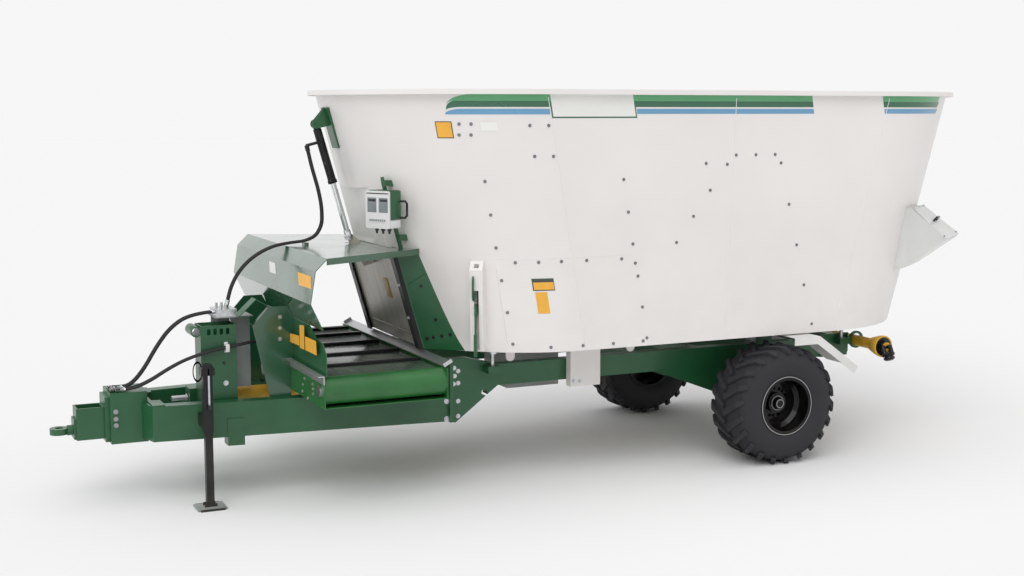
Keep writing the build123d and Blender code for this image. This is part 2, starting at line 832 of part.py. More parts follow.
# Towing eye with flange and shank
eye_flange_long = 14
eye_flange_half = 65
eye_flange_z = (425, 560)
eye_shank_radius = 34
with BuildPart() as towing_eye:
    block((head_front_x, head_front_x + eye_flange_long), (-eye_flange_half, eye_flange_half), eye_flange_z)
    rod((head_front_x, 0, eye_z), (eye_x - eye_ring_radius + 10, 0, eye_z), eye_shank_radius)
    with Locations((eye_x, 0, eye_z)):
        Cylinder(eye_ring_radius, eye_thick)
        Cylinder(eye_hole_radius, 3 * eye_thick, mode=Mode.SUBTRACT)
towing_eye.part.label = "towing_eye"
export_step(towing_eye.part, "parts/towing_eye.step")

# Axle beam with a flange and a spindle at each end
axle_half = 800
axle_flange_long = 15
axle_flange_radius = 70
hub_inner = -150
hub_outer = 60
with BuildPart() as axle_beam:
    low, high = tyre_radius - axle_square / 2, tyre_radius + axle_square / 2
    block((axle_x - axle_square / 2, axle_x + axle_square / 2), (-axle_half, axle_half), (low, high))
    for side in (-1, 1):
        face = side * axle_half
        rod((axle_x, face, tyre_radius), (axle_x, face + side * axle_flange_long, tyre_radius), axle_flange_radius)
        rod((axle_x, face, tyre_radius), (axle_x, side * (wheel_y + hub_outer - 10), tyre_radius), spindle_radius)
axle_beam.part.label = "axle_beam"
export_step(axle_beam.part, "parts/axle_beam.step")

# Wheels: rim with a deep dish, hub and studs; tyre with slanting lugs
rim_lip = 9
disc_out = 22
disc_in = 10
cap_out = 95
cap_radius = 48
stud_radius = 9
stud_out = 40
well_radius = 170
well = ((-116, -92), (40, 66))
hub_bore_end = 55
bead_gap = 0.4
lug_root_radius = 396
lug_shoulder = 202


def wheel_plane(side):
    """Wheel frame: x along the wagon, y outboard, for the left (1) or right (-1) wheel."""
    return Plane(origin=(axle_x, side * wheel_y, tyre_radius), x_dir=(side, 0, 0), z_dir=(0, 0, 1))


def rim_profile():
    """Closed outline of the rim's radius and outboard distance, between its two flanges."""
    half = rim_width / 2
    outer = [
        (rim_flange_radius, -half), (rim_flange_radius, -half + rim_lip),
        (rim_seat_radius, -half + rim_lip), (rim_seat_radius, well[0][0]),
        (well_radius, well[0][1]), (well_radius, well[1][0]),
        (rim_seat_radius, well[1][1]), (rim_seat_radius, half - rim_lip),
        (rim_flange_radius, half - rim_lip), (rim_flange_radius, half),
    ]
    inner = [
        (rim_seat_radius - rim_skin, half), (rim_seat_radius - rim_skin, well[1][1] + 4),
        (well_radius - rim_skin, well[1][0] + 4), (well_radius - rim_skin, well[0][1] - 4),
        (rim_seat_radius - rim_skin, well[0][0] - 4), (rim_seat_radius - rim_skin, -half),
    ]
    return outer + inner


with BuildPart() as rim_left:
    with BuildSketch(Plane.XY):
        Polygon(*rim_profile(), align=None)
        Polygon(
            (hub_bore_radius, hub_inner), (hub_radius, hub_inner), (hub_radius, disc_in),
            (well_radius - 2, disc_in), (well_radius - 2, disc_out), (hub_radius, disc_out),
            (hub_radius, hub_outer), (cap_radius, hub_outer), (cap_radius - 8, cap_out),
            (0, cap_out), (0, hub_bore_end), (hub_bore_radius, hub_bore_end), align=None,
        )
    revolve(axis=Axis.Y)
    with Locations(Plane(origin=(0, disc_out, 0), x_dir=(1, 0, 0), z_dir=(0, 1, 0))):
        with PolarLocations(stud_circle / 2, stud_count):
            Cylinder(stud_radius, stud_out - disc_out, align=(Align.CENTER, Align.CENTER, Align.MIN))
rim_left.part = rim_left.part.moved(Location((axle_x, wheel_y, tyre_radius)))
with BuildPart() as rim_right:
    mirror(rim_left.part, about=Plane.XZ)
rim_left.part.label = "rim_left"
rim_right.part.label = "rim_right"
export_step(rim_left.part, "parts/rim_left.step")
export_step(rim_right.part, "parts/rim_right.step")

bead_half = rim_width / 2 - rim_lip - bead_gap
bead_radius = rim_seat_radius + bead_gap
with BuildPart() as lug:
    with Locations(
        Plane(
            origin=((lug_root_radius + tyre_radius) / 2, lug_length * cos(radians(lug_turn)) / 2, 0),
            x_dir=(0, cos(radians(lug_turn)), sin(radians(lug_turn))),
            z_dir=(1, 0, 0),
        )
    ):
        Box(lug_length, lug_thick, tyre_radius - lug_root_radius + 20)
    with BuildSketch(Plane.XY):
        Polygon(
            (lug_root_radius - 20, -10), (tyre_radius, -10), (tyre_radius, tyre_width / 2 - 48),
            (tyre_body_radius - 14, lug_shoulder), (lug_root_radius - 30, lug_shoulder), align=None,
        )
    revolve(axis=Axis.Y, mode=Mode.INTERSECT)
with BuildPart() as tyre_left:
    with BuildSketch(Plane.XY):
        with BuildLine():
            Polyline((bead_radius, 0), (bead_radius, bead_half), (rim_flange_radius + bead_gap + 2, bead_half))
            ThreePointArc(
                (rim_flange_radius + bead_gap + 2, bead_half), (310, tyre_width / 2), (396, tyre_width / 2 - 34)
            )
            Polyline(
                (396, tyre_width / 2 - 34), (tyre_body_radius, tyre_width / 2 - 80),
                (tyre_body_radius, 0), (bead_radius, 0),
            )
        make_face()
        mirror(about=Plane.XZ)
    revolve(axis=Axis.Y)
    for number in range(lug_count):
        turn = 360 / lug_count * number
        add(lug.part.rotate(Axis.Y, turn))
        add(mirror(lug.part, about=Plane.XZ, mode=Mode.PRIVATE).rotate(Axis.Y, turn + 180 / lug_count))
tyre_left.part = tyre_left.part.moved(Location((axle_x, wheel_y, tyre_radius)))
with BuildPart() as tyre_right:
    mirror(tyre_left.part, about=Plane.XZ)
tyre_left.part.label = "tyre_left"
tyre_right.part.label = "tyre_right"
export_step(tyre_left.part, "parts/tyre_left.step")
export_step(tyre_right.part, "parts/tyre_right.step")

# Conveyor bed: two walls, a floor under the slats, round end covers, a pan and feet
foot_rows = [(1240, 1320), (1820, 1900)]
floor_inset = 57
floor_rib = 17
bed_bar_rows = [(-615, -585), (-15, 15), (585, 615)]
bed_bar_low = 770
bed_bar_high = 841
cover_skin = 6
cover_end = 728
pan_half = 1085
slat_gap = 0.3
floor_top = slat_shaft_z + slat_loop_radius - slat_gap
with BuildPart() as conveyor_bed:
    for x in ((bed_rear_x, bed_rear_x + bed_sheet), (bed_front_x - bed_sheet, bed_front_x)):
        block(x, (-bed_half, bed_half), (bed_low, bed_high))
    block((bed_rear_x, bed_front_x), (-pan_half, pan_half), (bed_low, bed_low + bed_sheet))
    block(
        (bed_rear_x + floor_inset, bed_front_x - floor_inset),
        (-slat_shaft_y, slat_shaft_y), (floor_top - bed_sheet, floor_top),
    )
    for y in bed_bar_rows:
        block((bed_rear_x, bed_front_x), y, (bed_bar_low, bed_bar_high - 2))
        block(
            (bed_rear_x + floor_inset, bed_front_x - floor_inset), y, (bed_bar_high - 4, floor_top)
        )
    with BuildPart(mode=Mode.PRIVATE) as cover:
        rod((bed_rear_x, slat_shaft_y, slat_shaft_z), (bed_front_x, slat_shaft_y, slat_shaft_z), nose_cover_radius)
        rod(
            (bed_rear_x - 1, slat_shaft_y, slat_shaft_z), (bed_front_x + 1, slat_shaft_y, slat_shaft_z),
            nose_cover_radius - cover_skin, mode=Mode.SUBTRACT,
        )
        block((bed_rear_x, bed_front_x), (0, slat_shaft_y), (0, 2 * slat_shaft_z), mode=Mode.SUBTRACT)
        block((bed_rear_x, bed_front_x), (0, 2 * slat_shaft_y), (0, cover_end), mode=Mode.SUBTRACT)
    add(cover.part)
    mirror(cover.part, about=Plane.XZ)
    for x in foot_rows:
        for side in (-1, 1):
            y = side * (drawbar_half((x[0] + x[1]) / 2) - drawbar_beam_wide / 2)
            block(x, (y - 35, y + 35), (drawbar_high, bed_low))
    for side in (-1, 1):
        rod(
            (bed_rear_x - 1, side * slat_shaft_y, slat_shaft_z),
            (bed_front_x + 1, side * slat_shaft_y, slat_shaft_z),
            shaft_radius + ram_running_gap, mode=Mode.SUBTRACT,
        )
conveyor_bed.part.label = "conveyor_bed"
export_step(conveyor_bed.part, "parts/conveyor_bed.step")

# Slats on two chain loops round the end shafts
chain_thick = 8
slat_pitch = 2 * slat_shaft_y / slat_count
chain_x = (bed_rear_x + chain_inset, bed_front_x - chain_inset - chain_wide)
with BuildPart() as conveyor_slats:
    for x in chain_x:
        with BuildSketch(Plane(origin=(x, 0, slat_shaft_z), x_dir=(0, 1, 0), z_dir=(1, 0, 0))):
            SlotCenterToCenter(2 * slat_shaft_y, 2 * slat_loop_radius)
            SlotCenterToCenter(2 * slat_shaft_y, 2 * (slat_loop_radius - chain_thick), mode=Mode.SUBTRACT)
        extrude(amount=chain_wide)
    for number in range(slat_count):
        y = -slat_shaft_y + slat_pitch * (number + 0.5)
        for low in (slat_shaft_z + slat_loop_radius, slat_shaft_z - slat_loop_radius - slat_height):
            block(
                (chain_x[0], chain_x[1] + chain_wide), (y - slat_wide / 2, y + slat_wide / 2),
                (low, low + slat_height),
            )
    for side in (-1, 1):
        out = side * (slat_shaft_y + slat_loop_radius - chain_thick / 2 + slat_height / 2)
        block(
            (chain_x[0], chain_x[1] + chain_wide), (out - slat_height / 2, out + slat_height / 2),
            (slat_shaft_z - slat_wide / 2, slat_shaft_z + slat_wide / 2),
        )
conveyor_slats.part.label = "conveyor_slats"
export_step(conveyor_slats.part, "parts/conveyor_slats.step")

# End shafts with sprockets inside the chains and bearings outside the walls
sprocket_gap = 0.4
bearing_radius = 40
bearing_long = 16
with BuildPart() as conveyor_shafts:
    for side in (-1, 1):
        y = side * slat_shaft_y
        rod(
            (bed_rear_x - bearing_long, y, slat_shaft_z), (bed_front_x + bearing_long, y, slat_shaft_z),
            shaft_radius,
        )
        for x in chain_x:
            rod(
                (x, y, slat_shaft_z), (x + chain_wide, y, slat_shaft_z),
                slat_loop_radius - chain_thick - sprocket_gap,
            )
        for x in (bed_rear_x - bearing_long, bed_front_x):
            rod((x, y, slat_shaft_z), (x + bearing_long, y, slat_shaft_z), bearing_radius)
conveyor_shafts.part.label = "conveyor_shafts"
export_step(conveyor_shafts.part, "parts/conveyor_shafts.step")

# Hydraulic motor on the front wall
motor_y = 60
motor_z = 810
motor_front = 2125
motor_radius = 48
motor_fitting_reach = 50
with BuildPart() as conveyor_motor:
    block((bed_front_x, bed_front_x + 16), (motor_y - 75, motor_y + 75), (motor_z - 62, motor_z + 62))
    rod((bed_front_x, motor_y, motor_z), (motor_front, motor_y, motor_z), motor_radius)
    block((bed_front_x + 60, motor_front - 6), (motor_y - 36, motor_y + 36), (motor_z, motor_z + 66))
    for points in lower_hose_points:
        fitting(points[0], points[1], motor_fitting_reach)
conveyor_motor.part.label = "conveyor_motor"
export_step(conveyor_motor.part, "parts/conveyor_motor.step")

# Deflector hood: bent front wall, roof with side flanges, and two supports on the drawbar
roof_rear_x = 1182
roof_slot = (1296, 1348)
roof_slot_half = 510
roof_notch_front = 1500
roof_notch_half = 15
support_y = 326
support_plate = 8
support_front = [(2150, drawbar_high), (2262, 1145), (2150, 1268), (2020, 1268)]
feed_board_front = 1978
hose_pad_x = (1785, 1815)
hose_pad_y = (8, 72)
hose_pad_top = 1666.7
with BuildPart() as deflector_hood:
    side_plate(bent(hood_profile, hood_sheet), (-hood_half, hood_half))
    roof_edge = [(hood_profile[-1][0], hood_half), (roof_rear_x, roof_rear_half + 40)]
    roof_outline = roof_edge + [(x, -y) for x, y in roof_edge[::-1]]
    flat_plate(roof_outline, (roof_z - hood_sheet, roof_z))
    flat_plate(bent(roof_edge, hood_sheet), (roof_z - roof_flange, roof_z))
    flat_plate(bent([(x, -y) for x, y in roof_edge[::-1]], hood_sheet), (roof_z - roof_flange, roof_z))
    block(roof_slot, (-roof_slot_half, roof_slot_half), (roof_z - hood_sheet, roof_z), mode=Mode.SUBTRACT)
    block(
        (roof_slot[0], roof_notch_front), (-roof_notch_half, roof_notch_half),
        (roof_z - hood_sheet, roof_z), mode=Mode.SUBTRACT,
    )
    support = [(bed_front_x, drawbar_high), *support_front, (hood_profile[0][0] + 2, hood_profile[0][1] + 6),
               (feed_board_front, hood_profile[0][1]), (feed_board_front, bed_high + 8), (bed_front_x, bed_high + 8)]
    for y in ((support_y, support_y + support_plate), (-support_y - support_plate, -support_y)):
        side_plate(support, y)
    block(hose_pad_x, hose_pad_y, (roof_z - hood_sheet, hose_pad_top))
    add(tub_seat, mode=Mode.SUBTRACT)
deflector_hood.part.label = "deflector_hood"
export_step(deflector_hood.part, "parts/deflector_hood.step")

# Feed board over the conveyor's front wall
board_sheet = 6
board_top = 1187
board_outline = [(0, bed_high), (1060, bed_high), (1060, 1040), (1000, 1100), (860, 1120), (700, board_top),
                 (0, board_top)]
with BuildPart() as feed_board:
    both = board_outline + [(-y, z) for y, z in board_outline[::-1]]
    cross_plate([p for p in both if p[0]], (feed_board_front - board_sheet, feed_board_front))
    block((feed_board_front - board_sheet, bed_front_x), (-1060, 1060), (bed_high, bed_high + board_sheet))
feed_board.part.label = "feed_board"
export_step(feed_board.part, "parts/feed_board.step")

# Steel angle along the conveyor's front edge
strip_z = (860, 916)
strip_wide = 42
with BuildPart() as edge_strip:
    for side in (-1, 1):
        inner, outer = support_y + support_plate + 1, bed_half
        y = (inner, outer) if side > 0 else (-outer, -inner)
        block((bed_front_x, bed_front_x + bed_sheet), y, strip_z)
        block((bed_front_x, bed_front_x + strip_wide), y, (strip_z[1] - bed_sheet, strip_z[1]))
edge_strip.part.label = "edge_strip"
export_step(edge_strip.part, "parts/edge_strip.step")

# Control tower on the drawbar's deck, with slots, a rolled front edge and the hose guide box
tower_x = (2352, 2592)
tower_y = (80, 258)
tower_top = 1155
tower_wall = 8
tower_slots = [2410, 2452, 2494, 2536]
tower_slot_z = 1112
roll_radius = 36
guide_outline = [(2230, 1326), (2118, 1258), (2237, 1133), (2348, 1216)]
guide_wall = 5
guide_y = (214, support_y)
with BuildPart() as control_tower:
    block(tower_x, tower_y, (deck_z[1], tower_top))
    block(
        (tower_x[0] + tower_wall, tower_x[1] - tower_wall),
        (tower_y[0] + tower_wall, tower_y[1] - tower_wall),
        (deck_z[1] + tower_wall, tower_top + 1), mode=Mode.SUBTRACT,
    )
    roll_x = tower_x[1] + roll_radius - tower_wall
    roll_z = tower_top - roll_radius
    rod((roll_x, tower_y[0], roll_z), (roll_x, tower_y[1], roll_z), roll_radius)
    rod(
        (roll_x, tower_y[0] - 1, roll_z), (roll_x, tower_y[1] + 1, roll_z),
        roll_radius - tower_wall, mode=Mode.SUBTRACT,
    )
    with BuildSketch(Plane(origin=(0, tower_y[1] + 1, 0), x_dir=(1, 0, 0), z_dir=(0, -1, 0))):
        with Locations(*[(x, tower_slot_z) for x in tower_slots]):
            SlotOverall(44, 24, rotation=90)
    extrude(amount=tower_wall + 2, mode=Mode.SUBTRACT)
control_tower.part.label = "control_tower"
export_step(control_tower.part, "parts/control_tower.step")

with BuildPart() as hose_guide:
    side_plate(guide_outline, guide_y)
    with BuildSketch(Plane(origin=(0, guide_y[1] + 1, 0), x_dir=(1, 0, 0), z_dir=(0, -1, 0))):
        with BuildSketch(mode=Mode.PRIVATE) as inside:
            Polygon(*guide_outline, align=None)
            offset(amount=-guide_wall, kind=Kind.INTERSECTION)
        add(inside.sketch)
    extrude(amount=guide_y[1] - guide_y[0] + 2, mode=Mode.SUBTRACT)
hose_guide.part.label = "hose_guide"
export_step(hose_guide.part, "parts/hose_guide.step")

# Valve stand against the tower, and the valve block on its shelf
stand_y = (100, 108)
shelf_x = (2200, 2480)
shelf_y = (0, 210)
shelf_z = (1194, 1200)
stand_low = 700
valve_x = (2330, 2470)
valve_y = (10, 200)
valve_top = 1250
knob_rows = [(2395, 30), (2430, 30), (2430, 165), (2395, 165)]
fitting_reach = 52
with BuildPart() as valve_stand:
    block((2222, tower_x[0]), stand_y, (stand_low, shelf_z[1]))
    block((2352, shelf_x[1]), (tower_y[0] - 8, tower_y[0]), (1000, shelf_z[1]))
    block((2222, tower_x[0]), (tower_y[0] - 8, stand_y[1]), (1000, 1060))
    block((2222, shelf_x[1]), shelf_y, shelf_z)
valve_stand.part.label = "valve_stand"
export_step(valve_stand.part, "parts/valve_stand.step")

with BuildPart() as valve_block:
    block(valve_x, valve_y, (shelf_z[1], valve_top))
    for x, y in knob_rows:
        rod((x, y, valve_top), (x, y, valve_top + 28), 9)
    for points in cylinder_hose_points:
        fitting(points[-1], points[-2], fitting_reach)
    for points in upper_hose_points:
        fitting(points[0], points[1], fitting_reach)
valve_block.part.label = "valve_block"
export_step(valve_block.part, "parts/valve_block.step")

# Driveline guards, gearboxes and input shaft
gearbox_gap = 5
gearbox_x = (tub_bottom_front_x, tub_bottom_rear_x)
with BuildPart() as auger_gearboxes:
    for x in gearbox_x:
        block(
            (x - gearbox_half, x + gearbox_half), (-gearbox_half, gearbox_half),
            (gearbox_low, tub_bottom_z - 2 * gearbox_gap),
        )
auger_gearboxes.part.label = "auger_gearboxes"
export_step(auger_gearboxes.part, "parts/auger_gearboxes.step")

guard_wall = 4
guard_rows = [
    (gearbox_x[0] + gearbox_half, input_block_x - input_block_long / 2),
    (gearbox_x[1] + gearbox_half, gearbox_x[0] - gearbox_half),
]
with BuildPart() as driveline_guards:
    for rear, front in guard_rows:
        rod((rear, 0, drive_z), (front, 0, drive_z), guard_radius)
        rod(
            (rear - 1, 0, drive_z), (front + 1, 0, drive_z), guard_radius - guard_wall,
            mode=Mode.SUBTRACT,
        )
driveline_guards.part.label = "driveline_guards"
export_step(driveline_guards.part, "parts/driveline_guards.step")

input_tail = 120
spline_count = 6
spline_depth = 2.5
with BuildPart() as input_shaft:
    rod((input_front_x - input_spline_long - input_tail - 60, 0, drive_z), (input_front_x, 0, drive_z),
        input_radius)
    collar = input_block_x + input_block_long / 2 + 6
    rod((collar, 0, drive_z), (collar + 8, 0, drive_z), 26)
    with Locations(Plane(origin=(input_front_x - 70, 0, drive_z), z_dir=(1, 0, 0))):
        with PolarLocations(input_radius, spline_count):
            Box(2 * spline_depth, 6, 150, mode=Mode.SUBTRACT)
input_shaft.part.label = "input_shaft"
export_step(input_shaft.part, "parts/input_shaft.step")

# Mixing augers: a tapering screw flight on a conical post, with knives along its edge
flight_sections = round(flight_turns * 360 / flight_step)
stub_radius = 60
stub_low = 941
post_low = tub_bottom_z + tub_floor + 10
knife_rows = [(40, 150), (130, 150), (230, 150), (330, 140), (430, 130), (540, 120), (640, 110)]
knife_out = 70
knife_thick = 10
knife_gap = 3.1
auger_starts = {"front": 200, "rear": 20}


def flight_at(turn):
    """Height and outer radius of the flight after a turn in degrees."""
    share = turn / (360 * flight_turns)
    return (
        auger_low_z + (auger_top_z - auger_low_z) * share,
        auger_low_radius + (auger_top_radius - auger_low_radius) * share,
    )


def flight_section(x, start, turn):
    """Radial slice of the flight after a turn, as a face."""
    z, radius = flight_at(turn)
    angle = start + turn
    out = (cos(radians(angle)), sin(radians(angle)), 0)
    with BuildSketch(Plane(origin=(x, 0, z), x_dir=out, z_dir=(out[1], -out[0], 0))) as slice_sketch:
        with Locations(((radius + auger_post_high - 40) / 2, 0)):
            Rectangle(radius - auger_post_high + 40, flight_thick)
    return slice_sketch.sketch


def auger(x, start):
    """One auger as a single solid."""
    with BuildPart() as screw:
        sections = [flight_section(x, start, flight_step * number) for number in range(flight_sections + 1)]
        loft(sections=sections, ruled=True)
        with BuildSketch(Plane(origin=(x, 0, 0), x_dir=(1, 0, 0), z_dir=(0, -1, 0))):
            Polygon(
                (0, post_low), (auger_post_low, post_low), (auger_post_high, auger_top_z - 60),
                (auger_post_high, auger_top_z + 20), (0, auger_top_z + 20), align=None,
            )
        revolve(axis=Axis((x, 0, 0), (0, 0, 1)))
        rod((x, 0, stub_low), (x, 0, post_low), stub_radius)
    return screw.part


def auger_knives(x, start):
    """The knives of one auger, lying on the edge of its flight."""
    with BuildPart() as knives:
        for turn, length in knife_rows:
            middle = flight_step * (turn // flight_step) + flight_step / 2
            z, radius = flight_at(middle)
            rise = (flight_at(middle + 1)[0] - flight_at(middle - 1)[0]) / radians(2) / radius
            angle = radians(start + middle)
            along = (-sin(angle), cos(angle), rise)
            out = (cos(angle), sin(angle), 0)
            chord = cos(radians(flight_step / 2))
            origin = (x + chord * radius * out[0], chord * radius * out[1], z + flight_thick / 2 + knife_gap)
            plane = Plane(origin=origin, x_dir=out, z_dir=Vector(*out).cross(Vector(*along)))
            prism(plane, [(-90, -length / 2), (-90, length / 2), (knife_out, length / 4),
                          (knife_out, -length / 2)], knife_thick)
    return knives.part


augers = {}
for name, x in zip(auger_starts, gearbox_x):
    with BuildPart() as auger_part:
        add(auger(x, auger_starts[name]))
    with BuildPart() as knives_part:
        add(auger_knives(x, auger_starts[name]))
    auger_part.part.label = f"auger_{name}"
    knives_part.part.label = f"knives_{name}"
    export_step(auger_part.part, f"parts/auger_{name}.step")
    export_step(knives_part.part, f"parts/knives_{name}.step")

# Counter knives, each with its hand lever
knife_half = 6
pivot_radius = 24
lever_plate = [
    (22, -8), (60, -8), (112, -14), (130, -30), (134, -60), (126, -90), (126, -345), (112, -345), (112, -90), (48, -52),
]
grip_middle = (119, -275)
grip_size = (26, 150)
guide_plate = [(94.9, 20), (124, 30), (132, 60), (132, 170), (120, 190), (107.3, 190)]
guide_start = 12
guide_thick = 10
knife_plate = [(18, -16), (56, -16), (56, 190), (24, 250), (18, 250)]
for name, angle in zip(("left", "right"), pocket_angles):
    with BuildPart() as counter_knife:
        plane = pocket_plane(angle).offset(-knife_half)
        prism(plane, knife_plate, 2 * knife_half)
        prism(plane, lever_plate, 2 * knife_half)
        with BuildSketch(plane):
            with Locations((pivot_x, 0)):
                Circle(pivot_radius)
        extrude(amount=2 * knife_half)
        with BuildSketch(plane.offset(-4)):
            with Locations(grip_middle):
                Rectangle(*grip_size)
        extrude(amount=2 * knife_half + 8)
        with BuildSketch(plane.offset(-2 * knife_half)):
            with Locations((pivot_x, 0)):
                Circle(pivot_pin_radius + pin_running_gap)
        extrude(amount=6 * knife_half, mode=Mode.SUBTRACT)
    counter_knife.part.label = f"counter_knife_{name}"
    export_step(counter_knife.part, f"parts/counter_knife_{name}.step")

# Upper guides of the counter-knife levers, on the pockets' outer walls
with BuildPart() as counter_guides:
    for angle in pocket_angles:
        prism(pocket_plane(angle).offset(guide_start), guide_plate, guide_thick)
counter_guides.part.label = "counter_guides"
export_step(counter_guides.part, "parts/counter_guides.step")

# Parking jack: sleeve on an arm of the drawbar, and the leg with its foot
sleeve_wall = 5
arm_x = (jack_x - 25, jack_x + 25)
arm_z = (520, 600)
jack_cap = 10
jack_head_z = (880, 950)
jack_leg_top = 685
with BuildPart() as jack_mount:
    half = jack_square / 2
    block((jack_x - half, jack_x + half), (jack_y - half, jack_y + half), (jack_sleeve_low, jack_sleeve_high))
    flat_plate([
        (arm_x[0], drawbar_half(arm_x[0], -seat_gap)), (arm_x[0], jack_y - half),
        (arm_x[1], jack_y - half), (arm_x[1], drawbar_half(arm_x[1], -seat_gap)),
    ], arm_z)
    prism(
        Plane(origin=(0, jack_y + half + 8, 0), x_dir=(1, 0, 0), z_dir=(0, -1, 0)),
        [(jack_x - half - 14, jack_head_z[0]), (jack_x + half + 14, jack_head_z[0]),
         (jack_x + half + 14, jack_head_z[1] - 26), (jack_x + half - 4, jack_head_z[1]),
         (jack_x - half + 4, jack_head_z[1]), (jack_x - half - 14, jack_head_z[1] - 26)],
        jack_square + 16,
    )
    inner = half - sleeve_wall
    block(
        (jack_x - inner, jack_x + inner), (jack_y - inner, jack_y + inner),
        (jack_sleeve_low - 1, jack_sleeve_high - jack_cap), mode=Mode.SUBTRACT,
    )
jack_mount.part.label = "jack_mount"
export_step(jack_mount.part, "parts/jack_mount.step")

with BuildPart() as jack_leg:
    half = jack_square / 2 - sleeve_wall - jack_inner_gap
    block((jack_x - half, jack_x + half), (jack_y - half, jack_y + half), (jack_foot_thick, jack_leg_top))
    block(
        (jack_x - jack_foot_wide / 2, jack_x + jack_foot_wide / 2),
        (jack_y - jack_foot_long / 2, jack_y + jack_foot_long / 2), (0, jack_foot_thick),
    )
    for side in (-1, 1):
        y = jack_y + side * (half + 4)
        block((jack_x - 40, jack_x + 40), (y - 4, y + 4), (jack_foot_thick, jack_foot_thick + 22))
jack_leg.part.label = "jack_leg"
export_step(jack_leg.part, "parts/jack_leg.step")

# Mudguards behind the wheels' tops
mudguard_line = [(-1518, 930), (-1738, 930), (-2088, 680)]
mudguard_sheet = 5
mudguard_y = (800, 1180)
mudguard_lip = 52
with BuildPart() as mudguards:
    side_plate(bent(mudguard_line, -mudguard_sheet), mudguard_y)
    side_plate(bent(mudguard_line, mudguard_lip), (mudguard_y[1] - mudguard_sheet, mudguard_y[1]))
    mirror(about=Plane.XZ)
mudguards.part.label = "mudguards"
export_step(mudguards.part, "parts/mudguards.step")

# Load cells: pins between the frame's brackets and bosses under the tub
cell_pin_radius = 15
cell_boss_radius = 36
cell_boss_low = 886
with BuildPart() as load_cells:
    for x in cell_bracket_rows:
        middle = (x[0] + x[1]) / 2
        for side in (-1, 1):
            rod((middle, side * cell_y, frame_beam_high), (middle, side * cell_y, cell_boss_low), cell_pin_radius)
            rod((middle, side * cell_y, cell_boss_low), (middle, side * cell_y, tub_bottom_z), cell_boss_radius)
load_cells.part.label = "load_cells"
export_step(load_cells.part, "parts/load_cells.step")

# Additive hopper on the rear left of the tub, with a hinged lid
hopper_angle = 127.5
hopper_z = 1835
hopper_low = 1385
hopper_out = 285
hopper_corner_z = 1600
hopper_corner_top = 1622
hopper_wall_half = 200
hopper_outer_half = 250
hopper_back = -170
hopper_sheet = 5
hopper_hinge_out = 30
hopper_mouth = 20


def hopper_plane():
    """Hopper frame on the tub's wall: x outward, y up, z along the tub."""
    _, rear, radius = tub_at(hopper_z)
    out = Vector(cos(radians(hopper_angle)), sin(radians(hopper_angle)), 0)
    return Plane(origin=(rear + radius * out.X, radius * out.Y, 0), x_dir=out, z_dir=out.cross(Vector(0, 0, 1)))


def hopper_body(inset):
    """Hopper's bulk; drawn in by an inset it is open at its sloping top."""
    plane = hopper_plane()
    rise = hopper_mouth if inset else 0
    with BuildPart() as body:
        prism(plane.offset(-hopper_outer_half), [
            (hopper_back, hopper_low - 60 + inset), (0, hopper_low + inset),
            (hopper_out - inset, hopper_corner_z + inset), (hopper_out - inset, hopper_corner_top + rise),
            (hopper_hinge_out + rise, hopper_z + rise), (hopper_hinge_out, hopper_z - inset),
            (hopper_back, hopper_z - inset),
        ], 2 * hopper_outer_half)
        plan = Plane(origin=plane.origin, x_dir=plane.x_dir, z_dir=(0, 0, 1))
        with BuildSketch(plan):
            Polygon(
                (hopper_back, -hopper_wall_half + inset), (0, -hopper_wall_half + inset),
                (hopper_out, -hopper_outer_half + inset), (hopper_out, hopper_outer_half - inset),
                (0, hopper_wall_half - inset), (hopper_back, hopper_wall_half - inset), align=None,
            )
        extrude(amount=2 * hopper_z, mode=Mode.INTERSECT)
    return body.part


lid_gap = 0.5
lid_sheet = 6
lid_over = 14
lid_half = 192
hopper_slope = atan((hopper_z - hopper_corner_top) / (hopper_out - hopper_hinge_out))
lid_plane = Plane(
    origin=hopper_plane().from_local_coords(Vector(hopper_hinge_out, hopper_z, 0)),
    x_dir=hopper_plane().x_dir * cos(hopper_slope) - Vector(0, 0, sin(hopper_slope)),
    z_dir=hopper_plane().x_dir * sin(hopper_slope) + Vector(0, 0, cos(hopper_slope)),
)
lid_long = (hopper_out - hopper_hinge_out) / cos(hopper_slope)
handle_half = 45
with BuildPart() as additive_hopper:
    add(hopper_body(0))
    add(hopper_body(hopper_sheet), mode=Mode.SUBTRACT)
    add(tub_seat, mode=Mode.SUBTRACT)
additive_hopper.part.label = "additive_hopper"
export_step(additive_hopper.part, "parts/additive_hopper.step")

with BuildPart() as hopper_lid:
    with BuildSketch(lid_plane.offset(lid_gap)):
        Polygon(
            (4, -lid_half), (4, lid_half), (lid_long + lid_over, hopper_outer_half + 8),
            (lid_long + lid_over, -hopper_outer_half - 8), align=None,
        )
    extrude(amount=lid_sheet)
    handle_plane = lid_plane.offset(lid_gap + lid_sheet)
    for y in (-handle_half, handle_half):
        with BuildSketch(handle_plane):
            with Locations((lid_long / 2, y)):
                Rectangle(12, 12)
        extrude(amount=34)
    with BuildSketch(handle_plane.offset(28)):
        with Locations((lid_long / 2, 0)):
            Rectangle(14, 2 * handle_half + 12)
    extrude(amount=12)
hopper_lid.part.label = "hopper_lid"
export_step(hopper_lid.part, "parts/hopper_lid.step")

# Display on a post beside the door
display_middle = (1476, 634, 1920)
display_normal = (0.872, 0.49, 0)
display_wide = 210
display_high = 250
display_deep = 110
post_radius = 14
post_y = 535
post_z = (roof_z - 10, 2130)
post_stand = 44
clamp_rows = [1720, 2090]
display_arm = 24
display_plane = Plane(
    origin=display_middle, x_dir=(-display_normal[1], display_normal[0], 0), z_dir=display_normal
)


def post_point(z):
    """Point of the display's post at a height."""
    return (tub_front(z, post_y) + post_stand, post_y, z)


